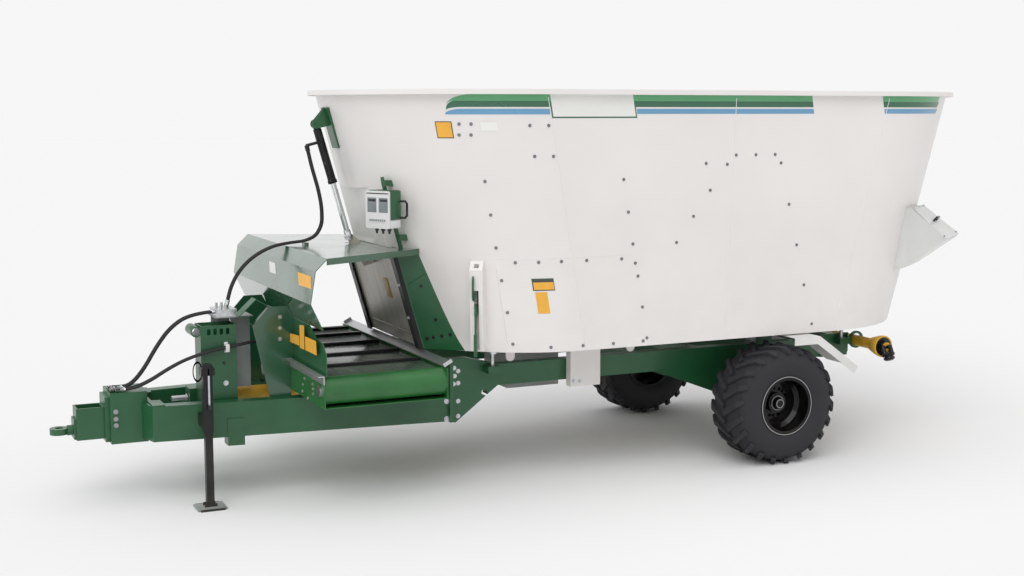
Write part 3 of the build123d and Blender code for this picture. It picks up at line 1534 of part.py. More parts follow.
with BuildPart() as display_bracket:
    rod(post_point(post_z[0]), post_point(post_z[1]), post_radius)
    for z in clamp_rows:
        x, y, _ = post_point(z)
        block((x - 120, x), (y - 14, y + 26), (z - 20, z + 20))
    block((0, 2 * post_y * 3), (0, 2 * post_y), (0, roof_z + seat_gap), mode=Mode.SUBTRACT)
    x, y, z = post_point(display_middle[2])
    rod((x, y, z), display_plane.from_local_coords((0, 0, -display_deep)), display_arm)
    add(tub_seat, mode=Mode.SUBTRACT)
    with BuildSketch(display_plane.offset(-display_deep - 12)):
        Rectangle(display_wide - 110, display_high - 60)
    extrude(amount=12)
    with BuildSketch(display_plane.offset(-display_deep)):
        Rectangle(3 * display_wide, 3 * display_high)
    extrude(amount=3 * display_deep, mode=Mode.SUBTRACT)
    add(tub_seat, mode=Mode.SUBTRACT)
display_bracket.part.label = "display_bracket"
export_step(display_bracket.part, "parts/display_bracket.step")

with BuildPart() as display_unit:
    with BuildSketch(display_plane.offset(-display_deep)):
        RectangleRounded(display_wide, display_high, 14)
    extrude(amount=display_deep)
    for x in (-50, 50):
        with BuildSketch(display_plane):
            with Locations((x, 30)):
                RectangleRounded(82, 100, 6)
        extrude(amount=-4, mode=Mode.SUBTRACT)
    with BuildSketch(display_plane):
        with Locations((0, -70)):
            RectangleRounded(150, 26, 5)
    extrude(amount=3)
display_unit.part.label = "display_unit"
export_step(display_unit.part, "parts/display_unit.step")

# Stowed drive shaft across the rear, resting in its hooks, with a bell and a yoke at each end
bell_radius = 82
bell_long = 130
bell_lip = 24
bell_rows = [(-700, -1), (778, 1)]
yoke_radius = 36
yoke_long = 46
with BuildPart() as stowed_shaft:
    rod((hook_x, bell_rows[0][0], stowed_z), (hook_x, bell_rows[1][0], stowed_z), shaft_tube_radius)
    for y, way in bell_rows:
        with BuildSketch(Plane(origin=(hook_x, y, stowed_z), z_dir=(0, way, 0))):
            Circle(shaft_tube_radius)
        with BuildSketch(Plane(origin=(hook_x, y + way * bell_long, stowed_z), z_dir=(0, way, 0))):
            Circle(bell_radius)
        loft()
        mouth = y + way * (bell_long + bell_lip)
        rod((hook_x, y + way * bell_long, stowed_z), (hook_x, mouth, stowed_z), bell_radius)
        rod((hook_x, mouth, stowed_z), (hook_x, mouth + way * yoke_long, stowed_z), yoke_radius)
stowed_shaft.part.label = "stowed_shaft"
export_step(stowed_shaft.part, "parts/stowed_shaft.step")

# Hoses along their routes
with BuildPart() as cylinder_hoses:
    for number, points in enumerate(cylinder_hose_points):
        hose(points, f"cylinder hose {number + 1}")
cylinder_hoses.part.label = "cylinder_hoses"
export_step(cylinder_hoses.part, "parts/cylinder_hoses.step")

free_hoses = {f"hose_upper_{number + 1}": points for number, points in enumerate(upper_hose_points)}
free_hoses |= {f"hose_lower_{number + 1}": points for number, points in enumerate(lower_hose_points)}
for name, points in free_hoses.items():
    with BuildPart() as free_hose:
        hose(points, name)
    free_hose.part.label = name
    export_step(free_hose.part, f"parts/{name}.step")

# Couplers on the free hoses' ends, lying on the nose
coupler_rows = [(0, 34, 12.8), (34, 48, 9), (48, 70, 11)]  # start, end, radius
with BuildPart() as hose_couplers:
    for points in free_hoses.values():
        x, y, z = points[-1]
        along = (Vector(*points[-1]) - Vector(*points[-2])).normalized()
        for start, end, radius in coupler_rows:
            rod(Vector(x, y, z) + along * start, Vector(x, y, z) + along * end, radius)
hose_couplers.part.label = "hose_couplers"
export_step(hose_couplers.part, "parts/hose_couplers.step")
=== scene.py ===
"""Dresses the feed mixer wagon: a finish for every CAD node, and the small pieces that the CAD leaves out."""

import logging
import math
from dataclasses import dataclass
from enum import Enum
from typing import ClassVar, Iterable, Sequence

import bmesh
import bpy
from bmesh.types import BMesh
from mathutils import Matrix, Vector

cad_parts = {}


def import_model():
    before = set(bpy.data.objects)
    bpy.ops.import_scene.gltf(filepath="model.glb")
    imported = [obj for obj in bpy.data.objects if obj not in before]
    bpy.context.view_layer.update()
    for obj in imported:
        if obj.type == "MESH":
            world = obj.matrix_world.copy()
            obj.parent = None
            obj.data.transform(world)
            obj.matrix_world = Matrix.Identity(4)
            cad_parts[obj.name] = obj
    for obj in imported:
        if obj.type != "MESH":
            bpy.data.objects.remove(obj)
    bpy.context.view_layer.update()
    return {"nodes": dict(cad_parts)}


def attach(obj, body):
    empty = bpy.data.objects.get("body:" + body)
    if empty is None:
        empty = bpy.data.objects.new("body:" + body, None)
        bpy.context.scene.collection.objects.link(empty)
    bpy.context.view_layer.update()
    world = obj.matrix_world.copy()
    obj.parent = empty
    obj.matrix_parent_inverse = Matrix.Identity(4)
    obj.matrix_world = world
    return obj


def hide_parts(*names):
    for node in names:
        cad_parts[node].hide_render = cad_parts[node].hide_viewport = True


log = logging.getLogger("feed_mixer_wagon")

Point = tuple[float, float, float]
Colour = tuple[float, float, float]

# The sRGB curve: a straight foot up to its knee, and a power above it
SRGB_KNEE, SRGB_FOOT, SRGB_SHIFT, SRGB_POWER = 0.04045, 12.92, 0.055, 2.4

# What every finish's noises share: the span of the noise that counts, and its detail
MOTTLE_SPAN, MOTTLE_DETAIL = (0.3, 0.7), 6.0
WEAR_SPAN, WEAR_DETAIL = (0.62, 0.68), 12.0
PATCH_SPAN, PATCH_SHARES, PATCH_SCALE, PATCH_DETAIL = (0.35, 0.65), (0.35, 1.0), 7.0, 8.0
GRAIN_DETAIL, GRAIN_DEPTH = 3.0, 0.002
ROUGH_SWING, LEAST_ROUGH, COAT_ROUGH = 0.05, 0.03, 0.12

# How far painted and stuck-on sheets stand off the surface that they lie on
PAINT_OUT, BORDER_OUT, PLATE_OUT = 0.0012, 0.0010, 0.0016


class End(Enum):
    """How a stripe ends towards the front."""

    SQUARE = "square"
    POINTED = "pointed"


class Side(Enum):
    """The wagon's two sides, as the sign of Y."""

    LEFT = 1
    RIGHT = -1


def linear(colour: Colour) -> tuple[float, float, float, float]:
    """Turns a colour of 0 to 255 into the linear values that a shader takes.

    Args:
        colour: red, green and blue from 0 to 255.

    Returns:
        The linear red, green and blue, and 1.0.
    """
    shares = [c / 255 for c in colour]
    red, green, blue = (
        s / SRGB_FOOT if s < SRGB_KNEE else ((s + SRGB_SHIFT) / (1 + SRGB_SHIFT)) ** SRGB_POWER
        for s in shares
    )
    return red, green, blue, 1.0


def darker(colour: Colour, share: float) -> Colour:
    """A colour made darker by a share, or lighter by a negative one."""
    red, green, blue = (min(max(c * (1 - share), 0), 255) for c in colour)
    return red, green, blue


@dataclass(frozen=True)
class Finish:
    """A surface: its colour, gloss, grain, and the dust and wear of use."""

    name: str
    slot: str
    colour: Colour
    rough: float
    metal: float = 0.0
    mottle: float = 0.04
    mottle_scale: float = 2.5
    grain: float = 0.06
    grain_scale: float = 260.0
    stretch: Point = (1.0, 1.0, 1.0)
    dust: float = 0.0
    dust_height: float = 0.9
    dust_colour: Colour = (150, 140, 122)
    wear: float = 0.0
    wear_scale: float = 16.0
    wear_colour: Colour = (120, 118, 112)
    coat: float = 0.0
    gleam: float = 0.5

    def material(self) -> bpy.types.Material:
        """Builds the node material once and returns it.

        Returns:
            The material of this finish.
        """
        if self.name in bpy.data.materials:
            return bpy.data.materials[self.name]
        material = bpy.data.materials.new(self.name)
        material.use_nodes = True
        tree = material.node_tree
        shader = tree.nodes["Principled BSDF"]
        shader.inputs["Metallic"].default_value = self.metal
        shader.inputs["Coat Weight"].default_value = self.coat
        shader.inputs["Specular IOR Level"].default_value = self.gleam
        shader.inputs["Coat Roughness"].default_value = COAT_ROUGH
        place = tree.nodes.new("ShaderNodeTexCoord")
        turn = tree.nodes.new("ShaderNodeMapping")
        turn.inputs["Scale"].default_value = self.stretch
        tree.links.new(place.outputs["Object"], turn.inputs["Vector"])
        drift = self.noise(tree, turn.outputs["Vector"], self.mottle_scale, MOTTLE_DETAIL)
        spread = self.ramp(tree, drift, MOTTLE_SPAN, (0.0, 1.0))
        shade = self.blend(
            tree, spread, linear(darker(self.colour, self.mottle)), linear(darker(self.colour, -self.mottle))
        )
        if self.wear:
            marks = self.noise(tree, turn.outputs["Vector"], self.wear_scale, WEAR_DETAIL)
            bare = self.ramp(tree, marks, WEAR_SPAN, (0.0, self.wear))
            shade = self.blend(tree, bare, shade, linear(self.wear_colour))
        if self.dust:
            shade = self.dusted(tree, place.outputs["Object"], shade)
        tree.links.new(shade, shader.inputs["Base Color"])
        smoothest = max(self.rough - ROUGH_SWING, LEAST_ROUGH)
        gloss = self.ramp(tree, drift, MOTTLE_SPAN, (self.rough + ROUGH_SWING, smoothest))
        tree.links.new(gloss, shader.inputs["Roughness"])
        fine = self.noise(tree, turn.outputs["Vector"], self.grain_scale, GRAIN_DETAIL)
        bump = tree.nodes.new("ShaderNodeBump")
        bump.inputs["Strength"].default_value = self.grain
        bump.inputs["Distance"].default_value = GRAIN_DEPTH
        tree.links.new(fine, bump.inputs["Height"])
        tree.links.new(bump.outputs["Normal"], shader.inputs["Normal"])
        return material

    def dusted(
        self, tree: bpy.types.NodeTree, place: bpy.types.NodeSocket, shade: bpy.types.NodeSocket
    ) -> bpy.types.NodeSocket:
        """Lays dust on the lowest parts, thinning out to the dust height.

        Args:
            tree: the material's nodes.
            place: the object coordinates.
            shade: the colour under the dust.

        Returns:
            The colour with its dust.
        """
        split = tree.nodes.new("ShaderNodeSeparateXYZ")
        tree.links.new(place, split.inputs[0])
        low = self.ramp(tree, split.outputs["Z"], (0.0, self.dust_height), (self.dust, 0.0))
        patch = self.ramp(tree, self.noise(tree, place, PATCH_SCALE, PATCH_DETAIL), PATCH_SPAN, PATCH_SHARES)
        amount = tree.nodes.new("ShaderNodeMath")
        amount.operation = "MULTIPLY"
        tree.links.new(low, amount.inputs[0])
        tree.links.new(patch, amount.inputs[1])
        return self.blend(tree, amount.outputs[0], shade, linear(self.dust_colour))

    @staticmethod
    def noise(
        tree: bpy.types.NodeTree, vector: bpy.types.NodeSocket, scale: float, detail: float
    ) -> bpy.types.NodeSocket:
        """A noise texture's value socket at a scale and detail."""
        node = tree.nodes.new("ShaderNodeTexNoise")
        node.inputs["Scale"].default_value = scale
        node.inputs["Detail"].default_value = detail
        tree.links.new(vector, node.inputs["Vector"])
        return node.outputs["Fac"]

    @staticmethod
    def ramp(
        tree: bpy.types.NodeTree, value: bpy.types.NodeSocket, span: tuple[float, float],
        result: tuple[float, float],
    ) -> bpy.types.NodeSocket:
        """A clamped change of range of a value."""
        node = tree.nodes.new("ShaderNodeMapRange")
        node.inputs["From Min"].default_value, node.inputs["From Max"].default_value = span
        node.inputs["To Min"].default_value, node.inputs["To Max"].default_value = result
        tree.links.new(value, node.inputs["Value"])
        return node.outputs["Result"]

    @staticmethod
    def blend(
        tree: bpy.types.NodeTree, share: bpy.types.NodeSocket, first: object, second: object
    ) -> bpy.types.NodeSocket:
        """Mixes two colours by a share.

        Args:
            tree: the material's nodes.
            share: how much of the second colour counts.
            first: the first colour, a socket or a plain colour.
            second: the second colour, a socket or a plain colour.

        Returns:
            The mixed colour.
        """
        node = tree.nodes.new("ShaderNodeMix")
        node.data_type = "RGBA"
        tree.links.new(share, node.inputs["Factor"])
        colour_a, colour_b, colour_out = node.inputs[6], node.inputs[7], node.outputs[2]
        for socket, value in ((colour_a, first), (colour_b, second)):
            if isinstance(value, tuple):
                socket.default_value = value
            else:
                tree.links.new(value, socket)
        return colour_out


TUB_WHITE = Finish("tub_white_paint", "painted_white", (235, 231, 229), 0.42, mottle=0.014, mottle_scale=1.3,
                   grain=0.05, grain_scale=90, dust=0.10, dust_height=2.2, coat=0.25)
GREEN = Finish("green_paint", "painted_green", (28, 85, 50), 0.38, mottle=0.07, mottle_scale=3.5, grain=0.05,
               grain_scale=180, dust=0.10, dust_height=0.6, coat=0.15)
HOOD_GREEN = Finish("hood_green_paint", "painted_green", (34, 82, 54), 0.24, mottle=0.04, mottle_scale=3.5,
                    grain=0.02, grain_scale=180, coat=1.0)
BELT_FACE = Finish("worn_belt_face", "dark_steel", (72, 88, 74), 0.25, mottle=0.12, mottle_scale=5, grain=0.05,
                   wear=0.2, wear_scale=14, wear_colour=(96, 108, 96), coat=0.4)
BOLT_GREY = Finish("grey_bolt", "bare_steel", (128, 130, 134), 0.4, metal=0.6, mottle=0.06, mottle_scale=40,
                   grain=0.04)
BELT_GREEN = Finish("conveyor_green_paint", "painted_green", (36, 100, 46), 0.42, mottle=0.08, mottle_scale=6,
                    grain=0.05, wear=0.10, wear_scale=22, wear_colour=(96, 104, 88), coat=0.08)
BLACK_PAINT = Finish("black_paint", "painted_black", (22, 22, 23), 0.4, mottle=0.12, grain=0.05, dust=0.12,
                     dust_height=0.7, gleam=0.3)
GREY_PAINT = Finish("grey_paint", "painted_grey", (148, 152, 150), 0.45, mottle=0.06, grain=0.08, wear=0.15)
GLOSS_BLACK = Finish("gloss_black_rim", "gloss_black", (7, 8, 9), 0.14, mottle=0.15, mottle_scale=9, grain=0.02,
                     dust=0.06, dust_height=0.6, gleam=0.25)
ZINC = Finish("zinc_steel", "bare_steel", (196, 198, 200), 0.3, metal=1.0, mottle=0.06, mottle_scale=40, grain=0.04)
BARE_STEEL = Finish("bare_steel", "bare_steel", (172, 171, 168), 0.38, metal=1.0, mottle=0.10, mottle_scale=8,
                    grain=0.10, grain_scale=40, stretch=(1.0, 1.0, 9.0), wear=0.2, wear_colour=(120, 108, 96))
STAINLESS = Finish("stainless_door", "bare_steel", (200, 192, 181), 0.34, metal=0.25, mottle=0.05, mottle_scale=2,
                   grain=0.06, grain_scale=60, stretch=(1.0, 12.0, 1.0))
WORN_STEEL = Finish("worn_auger_steel", "dark_steel", (98, 94, 90), 0.45, metal=0.7, mottle=0.18, mottle_scale=5,
                    grain=0.15, grain_scale=70, wear=0.35, wear_scale=9, wear_colour=(128, 98, 74))
SLAT_STEEL = Finish("slat_steel", "dark_steel", (40, 44, 40), 0.42, metal=0.4, mottle=0.15, mottle_scale=12,
                    grain=0.1, wear=0.3, wear_colour=(84, 100, 82))
CHROME = Finish("chrome_rod", "chrome_steel", (224, 226, 228), 0.08, metal=1.0, mottle=0.02, mottle_scale=20,
                grain=0.01)
YELLOW = Finish("yellow_guard", "yellow_plastic", (214, 166, 42), 0.45, mottle=0.08, mottle_scale=9, grain=0.1,
                grain_scale=150, dust=0.25, dust_height=0.9)
WHITE_PLASTIC = Finish("white_plastic", "white_plastic", (232, 233, 233), 0.38, mottle=0.02, grain=0.08,
                       grain_scale=420)
# The hopper and its lid take the tub's white paint made darker, as painted shade for the hopper's shaded walls; the
# dust on it is real dust
HOPPER_SHADED_WHITE = Finish("hopper_white_painted_shade", "painted_white", (214, 215, 213), 0.4, mottle=0.03, grain=0.05,
                      grain_scale=120, dust=0.2, dust_height=2.0, coat=0.25)
GUARD_WHITE = Finish("mudguard_white", "painted_white", (226, 226, 224), 0.4, mottle=0.03, grain=0.05, dust=0.45,
                     dust_height=1.1)
RUBBER = Finish("black_rubber", "black_rubber", (24, 24, 25), 0.55, mottle=0.12, mottle_scale=12, grain=0.12,
                grain_scale=300)
TYRE_RUBBER = Finish("tyre_rubber", "tyre_rubber", (30, 29, 28), 0.66, mottle=0.12, mottle_scale=9, grain=0.22,
                     grain_scale=160, dust=0.16, dust_height=0.75, dust_colour=(112, 106, 98), gleam=0.3)
STRIPE_LIGHT = Finish("stripe_light_green", "painted_white", (92, 170, 116), 0.3, mottle=0.02, grain=0.02, coat=0.4)
STRIPE_DARK = Finish("stripe_dark_green", "painted_white", (50, 104, 76), 0.3, mottle=0.02, grain=0.02, coat=0.4)
STRIPE_BLUE = Finish("stripe_blue", "painted_white", (104, 158, 196), 0.3, mottle=0.02, grain=0.02, coat=0.4)
LABEL_ORANGE = Finish("blank_orange_label", "painted_white", (240, 178, 62), 0.4, mottle=0.03, mottle_scale=20,
                      grain=0.03)
LABEL_WHITE = Finish("blank_white_label", "painted_white", (236, 236, 232), 0.35, mottle=0.02, grain=0.03)
LABEL_EDGE = Finish("label_edge", "painted_black", (66, 74, 68), 0.4, mottle=0.05, grain=0.03)
WINDOW_GREY = Finish("display_window_grey", "white_plastic", (116, 124, 126), 0.18, mottle=0.05, mottle_scale=30,
                     grain=0.02, coat=0.5)
GLOSS_DARK = Finish("dark_gloss_plastic", "black_rubber", (20, 21, 23), 0.25, mottle=0.1, mottle_scale=25,
                    grain=0.05)

# Nodes that aren't the frame's green
NODE_FINISHES: dict[str, Finish] = {
    "mixing_tub": TUB_WHITE,
    "additive_hopper": HOPPER_SHADED_WHITE,
    "hopper_lid": HOPPER_SHADED_WHITE,
    "mudguards": GUARD_WHITE,
    "valve_stand": GREY_PAINT,
    "valve_block": ZINC,
    "deflector_hood": HOOD_GREEN,
    "conveyor_bed": BELT_GREEN,
    "conveyor_slats": SLAT_STEEL,
    "conveyor_shafts": ZINC,
    "conveyor_motor": BLACK_PAINT,
    "edge_strip": BARE_STEEL,
    "guide_rails": BLACK_PAINT,
    "discharge_door": STAINLESS,
    "cylinder_barrel": BLACK_PAINT,
    "cylinder_rod": CHROME,
    "chute_lip": BARE_STEEL,
    "display_unit": WHITE_PLASTIC,
    "axle_beam": BLACK_PAINT,
    "rim_left": GLOSS_BLACK,
    "rim_right": GLOSS_BLACK,
    "tyre_left": TYRE_RUBBER,
    "tyre_right": TYRE_RUBBER,
    "auger_gearboxes": GREY_PAINT,
    "driveline_guards": YELLOW,
    "input_shaft": BARE_STEEL,
    "auger_front": WORN_STEEL,
    "auger_rear": WORN_STEEL,
    "knives_front": BARE_STEEL,
    "knives_rear": BARE_STEEL,
    "jack_mount": BLACK_PAINT,
    "jack_leg": BLACK_PAINT,
    "load_cells": ZINC,
    "stowed_shaft": YELLOW,
    "cylinder_hoses": RUBBER,
    "hose_couplers": ZINC,
}


def dress_nodes(frame: dict) -> None:
    """Gives every CAD node its finish, which is green where the table names no other.
    """
    for name, node in frame["nodes"].items():
        finish = NODE_FINISHES.get(name, GREEN)
        node.data.materials.clear()
        node.data.materials.append(finish.material())
        log.info("node %s: %s", name, finish.name)


def aim(at: Sequence[float], axis: Sequence[float]) -> Matrix:
    """A placement at a point whose Z runs along an axis.

    Args:
        at: the point.
        axis: the direction, of any length.

    Returns:
        The placement.
    """
    return Matrix.Translation(Vector(at)) @ Vector(axis).to_track_quat("Z", "Y").to_matrix().to_4x4()


def add_rod(bm: BMesh, start: Sequence[float], end: Sequence[float], radius: float, sides: int = 16,
            tip: float | None = None) -> list:
    """Adds a closed round bar between two points.

    Args:
        bm: the mesh.
        start: the first end's middle.
        end: the second end's middle.
        radius: the bar's radius at its start.
        sides: how many flats stand for the round.
        tip: the radius at its end, if not the same.

    Returns:
        The new vertices.
    """
    span = Vector(end) - Vector(start)
    middle = (Vector(start) + Vector(end)) / 2
    made = bmesh.ops.create_cone(
        bm, cap_ends=True, segments=sides, radius1=radius, radius2=radius if tip is None else tip,
        depth=span.length, matrix=aim(middle, span),
    )
    return made["verts"]


def add_block(bm: BMesh, place: Matrix, size: Sequence[float], soft: float = 0.0) -> None:
    """Adds a box with its middle at a placement.

    Args:
        bm: the mesh.
        place: where it stands and how it is turned.
        size: its length, width and height.
        soft: the bevel on its edges.
    """
    made = bmesh.ops.create_cube(bm, size=1.0, matrix=place @ Matrix.Diagonal((*size, 1.0)))
    if soft:
        edges = list({edge for vertex in made["verts"] for edge in vertex.link_edges})
        bmesh.ops.bevel(bm, geom=edges, offset=soft, segments=2, profile=0.5, affect="EDGES", material=-1)


def add_bolt(bm: BMesh, at: Sequence[float], axis: Sequence[float], radius: float = 0.011) -> None:
    """Adds a hexagon bolt head on its washer.

    Args:
        bm: the mesh.
        at: the point on the surface.
        axis: the direction out of the surface.
        radius: the head's radius across its corners.
    """
    # Each as a share of the head's radius
    sunk, washer_top, washer_radius = 0.3, 0.22, 1.35
    head_foot, head_top, head_tip = 0.2, 0.85, 0.94
    seat, out = Vector(at), Vector(axis).normalized()
    add_rod(bm, seat - out * radius * sunk, seat + out * radius * washer_top, radius * washer_radius, 18)
    add_rod(
        bm, seat + out * radius * head_foot, seat + out * radius * head_top, radius, 6, radius * head_tip,
    )


def thicken(bm: BMesh, face: bmesh.types.BMFace, by: Vector) -> None:
    """Makes a closed plate of one face.

    Args:
        bm: the mesh.
        face: the face, which stays as the plate's back.
        by: the plate's thickness, as a vector from its back to its front.
    """
    made = bmesh.ops.extrude_face_region(bm, geom=[face], use_keep_orig=True)
    lifted = [item for item in made["geom"] if isinstance(item, bmesh.types.BMVert)]
    bmesh.ops.translate(bm, verts=lifted, vec=by)


def add_plate(bm: BMesh, place: Matrix, outline: Iterable[tuple[float, float]], thick: float) -> None:
    """Adds a plate from a flat outline, from the placement's plane up along its Z.

    Args:
        bm: the mesh.
        place: the plane that the outline lies in.
        outline: its corners.
        thick: the plate's thickness.
    """
    corners = [bm.verts.new(place @ Vector((x, y, 0.0))) for x, y in outline]
    normal = (place.to_3x3() @ Vector((0, 0, 1))).normalized()
    thicken(bm, bm.faces.new(corners), normal * thick)


def finish_piece(name: str, bm: BMesh, finish: Finish, body: str = "wagon", crease: float = 35.0,
                 shell: bool = False) -> bpy.types.Object:
    """Turns a mesh under way into a piece that rides on a body.

    Args:
        name: the piece's name.
        bm: the mesh, which is used up.
        finish: its surface.
        body: the CAD body that it rides on.
        crease: the angle in degrees past which an edge stays sharp.
        shell: an open sheet, whose faces already point the right way.

    Returns:
        The piece.
    """
    bmesh.ops.remove_doubles(bm, verts=bm.verts, dist=0.00001)
    if not shell:
        bmesh.ops.recalc_face_normals(bm, faces=bm.faces)
    for face in bm.faces:
        face.smooth = True
    for edge in bm.edges:
        edge.smooth = edge.calc_face_angle(0.0) < math.radians(crease)
    mesh = bpy.data.meshes.new(name)
    bm.to_mesh(mesh)
    bm.free()
    piece = bpy.data.objects.new(name, mesh)
    bpy.context.scene.collection.objects.link(piece)
    mesh.materials.append(finish.material())
    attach(piece, body)
    log.info("piece %s: %d faces, %s, rides on %s", name, len(mesh.polygons), finish.name, body)
    return piece


@dataclass(frozen=True)
class Stripe:
    """A band on the tub's wall, by its reach along the wall and its heights.

    A pointed band narrows to tip_z, its top edge over tip_top and its low edge over tip_low.
    A slanted one leans by slant at its rear end.
    """

    start: float
    stop: float
    low: float
    high: float
    front: End = End.SQUARE
    tip_z: float = 0.0
    tip_top: float = 0.0
    tip_low: float = 0.0
    slant: float = 0.0

    def edges(self, along: float) -> tuple[float, float]:
        """The band's lowest and highest point at a place along the wall.

        Args:
            along: the distance along the wall.

        Returns:
            The two heights.
        """
        low, high = self.low, self.high
        if self.front is End.POINTED:
            for_top = min(max((self.start + self.tip_top - along) / self.tip_top, 0), 1)
            for_low = min(max((self.start + self.tip_low - along) / self.tip_low, 0), 1)
            high = self.tip_z + (high - self.tip_z) * math.sqrt(1 - for_top**2)
            low = self.tip_z + (low - self.tip_z) * math.sqrt(1 - for_low**2)
        return low, high


@dataclass
class TubShell:
    """The mixing tub's wall: its stripes, blank plates, welds, bolts and top rail."""

    # X and Z of each bolt head on the side wall
    BOLTS: ClassVar[tuple[tuple[float, float], ...]] = (
        (0.597, 2.477), (0.465, 2.476), (0.556, 2.275), (0.423, 2.274), (0.863, 2.112), (0.816, 1.889),
        (0.771, 1.668), (-0.113, 2.110), (-0.159, 1.887), (-0.204, 1.666), (-0.121, 1.566), (-0.230, 1.532),
        (-0.255, 1.441), (0.648, 1.567), (0.497, 1.567), (0.338, 1.568), (0.149, 1.567), (0.724, 1.445),
        (0.675, 1.224), (0.628, 1.004), (-1.007, 2.264), (-0.937, 2.200), (-0.762, 2.209), (-0.807, 2.021),
        (-0.680, 1.842), (-0.552, 1.663), (-1.172, 2.264), (-1.335, 2.264), (-1.390, 2.203), (-1.480, 1.904),
        (-1.568, 1.606), (-1.655, 1.307), (-1.747, 1.010), (-0.301, 1.221), (-0.347, 0.999), (-0.318, 0.979),
        (-0.082, 0.977), (0.154, 0.979), (0.384, 0.978), (1.035, 2.487), (0.966, 2.487), (1.030, 2.416),
        (0.962, 2.416),
    )
    # X of each sheet seam at its low and its high end
    SEAMS: ClassVar[tuple[tuple[float, float], ...]] = ((0.135, 0.475), (-0.985, -0.985), (-1.955, -2.318))
    # X of each joint of the top rail
    RAIL_JOINTS: ClassVar[tuple[float, ...]] = (1.32, 1.18, 0.86, 0.36, -0.80, -1.84, -2.30, -2.56)

    top: float = 2.713
    bottom: float = 0.944
    top_front: float = 0.490
    top_rear: float = -2.328
    top_radius: float = 1.165
    bottom_front: float = 0.128
    bottom_rear: float = -1.952
    bottom_radius: float = 1.058
    rim_out: float = 0.048
    seam_low: float = 0.96
    seam_high: float = 2.66
    seam_radius: float = 0.0030
    liner_radius: float = 0.0018
    liner_z: float = 1.592
    liner_x: float = 0.86
    liner_step: float = 0.06
    liner_parts: int = 18
    bolt_radius: float = 0.0085

    def sizes(self, z: float) -> tuple[float, float, float]:
        """The front and rear middles and the radius of the wall's outline at a height."""
        share = (self.top - z) / (self.top - self.bottom)
        return (
            self.top_front + (self.bottom_front - self.top_front) * share,
            self.top_rear + (self.bottom_rear - self.top_rear) * share,
            self.top_radius + (self.bottom_radius - self.top_radius) * share,
        )

    def wall(self, along: float, z: float, out: float = 0.0, side: Side = Side.LEFT) -> Vector:
        """A point on the wall, measured rearwards along it from the front bend.

        Args:
            along: the distance; it is negative round the front.
            z: the height.
            out: the distance off the wall.
            side: the wagon's side.

        Returns:
            The point.
        """
        front, rear, radius = self.sizes(z)
        straight = front - rear
        reach = radius + out
        if along < 0:
            angle = -along / radius
            x, y = front + reach * math.sin(angle), reach * math.cos(angle)
        elif along > straight:
            angle = (along - straight) / radius
            x, y = rear - reach * math.sin(angle), reach * math.cos(angle)
        else:
            x, y = front - along, reach
        return Vector((x, y * side.value, z))

    def along(self, x: float, z: float) -> float:
        """The distance along the wall at which it has that X, at a height."""
        front, rear, radius = self.sizes(z)
        if x > front:
            return -radius * math.asin(min((x - front) / radius, 1))
        if x < rear:
            return front - rear + radius * math.asin(min((rear - x) / radius, 1))
        return front - x

    def outward(self, along: float, z: float, side: Side) -> Vector:
        """The direction out of the wall at a place."""
        near = self.wall(along, z, 0.0, side)
        far = self.wall(along, z, 0.1, side)
        return (far - near).normalized()

    def sheet(self, bm: BMesh, stripe: Stripe, side: Side, out: float, steps: int = 60) -> None:
        """Lays a thin sheet of a stripe's shape on the wall.

        Args:
            bm: the mesh.
            stripe: the band.
            side: the wagon's side.
            out: how far its face stands off the wall.
            steps: how many parts it has along its length.
        """
        crowding = 1.6  # draws the parts together towards a point
        made = bmesh.ops.create_grid(bm, x_segments=steps, y_segments=3, size=0.5)
        for vertex in made["verts"]:
            share, rise = vertex.co.x + 0.5, vertex.co.y + 0.5
            if stripe.front is End.POINTED:
                share = share**crowding
            along = stripe.start + (stripe.stop - stripe.start) * share
            low, high = stripe.edges(along)
            z = low + (high - low) * rise
            along += stripe.slant * (rise - 0.5) * share
            vertex.co = self.wall(along, z, out, side)
        if side is Side.LEFT:
            faces = list({face for vertex in made["verts"] for face in vertex.link_faces})
            bmesh.ops.reverse_faces(bm, faces=faces)

    def stripes(self) -> None:
        """Makes the coloured bands that run round the top of the tub."""
        bands = {
            "stripe_light": (STRIPE_LIGHT, [
                Stripe(-0.687, 0.03, 2.636, 2.680, End.POINTED, tip_z=2.600, tip_top=0.2, tip_low=0.05),
                Stripe(0.633, 2.107, 2.636, 2.678),
                Stripe(2.737, 3.45, 2.636, 2.678, slant=0.04),
            ]),
            "stripe_dark": (STRIPE_DARK, [
                Stripe(-0.690, 0.03, 2.597, 2.637, End.POINTED, tip_z=2.577, tip_top=0.07, tip_low=0.11),
                Stripe(0.633, 2.107, 2.597, 2.637),
                Stripe(2.737, 3.44, 2.597, 2.637, slant=0.04),
            ]),
            "stripe_blue": (STRIPE_BLUE, [
                Stripe(-0.702, 0.007, 2.549, 2.585, End.POINTED, tip_z=2.549, tip_top=0.12, tip_low=0.02),
                Stripe(0.655, 2.107, 2.551, 2.585),
                Stripe(2.74, 3.42, 2.551, 2.585, slant=0.04),
            ]),
        }
        for name, (finish, rows) in bands.items():
            bm = bmesh.new()
            for side in Side:
                for row in rows:
                    self.sheet(bm, row, side, PAINT_OUT)
            finish_piece(name, bm, finish, shell=True)

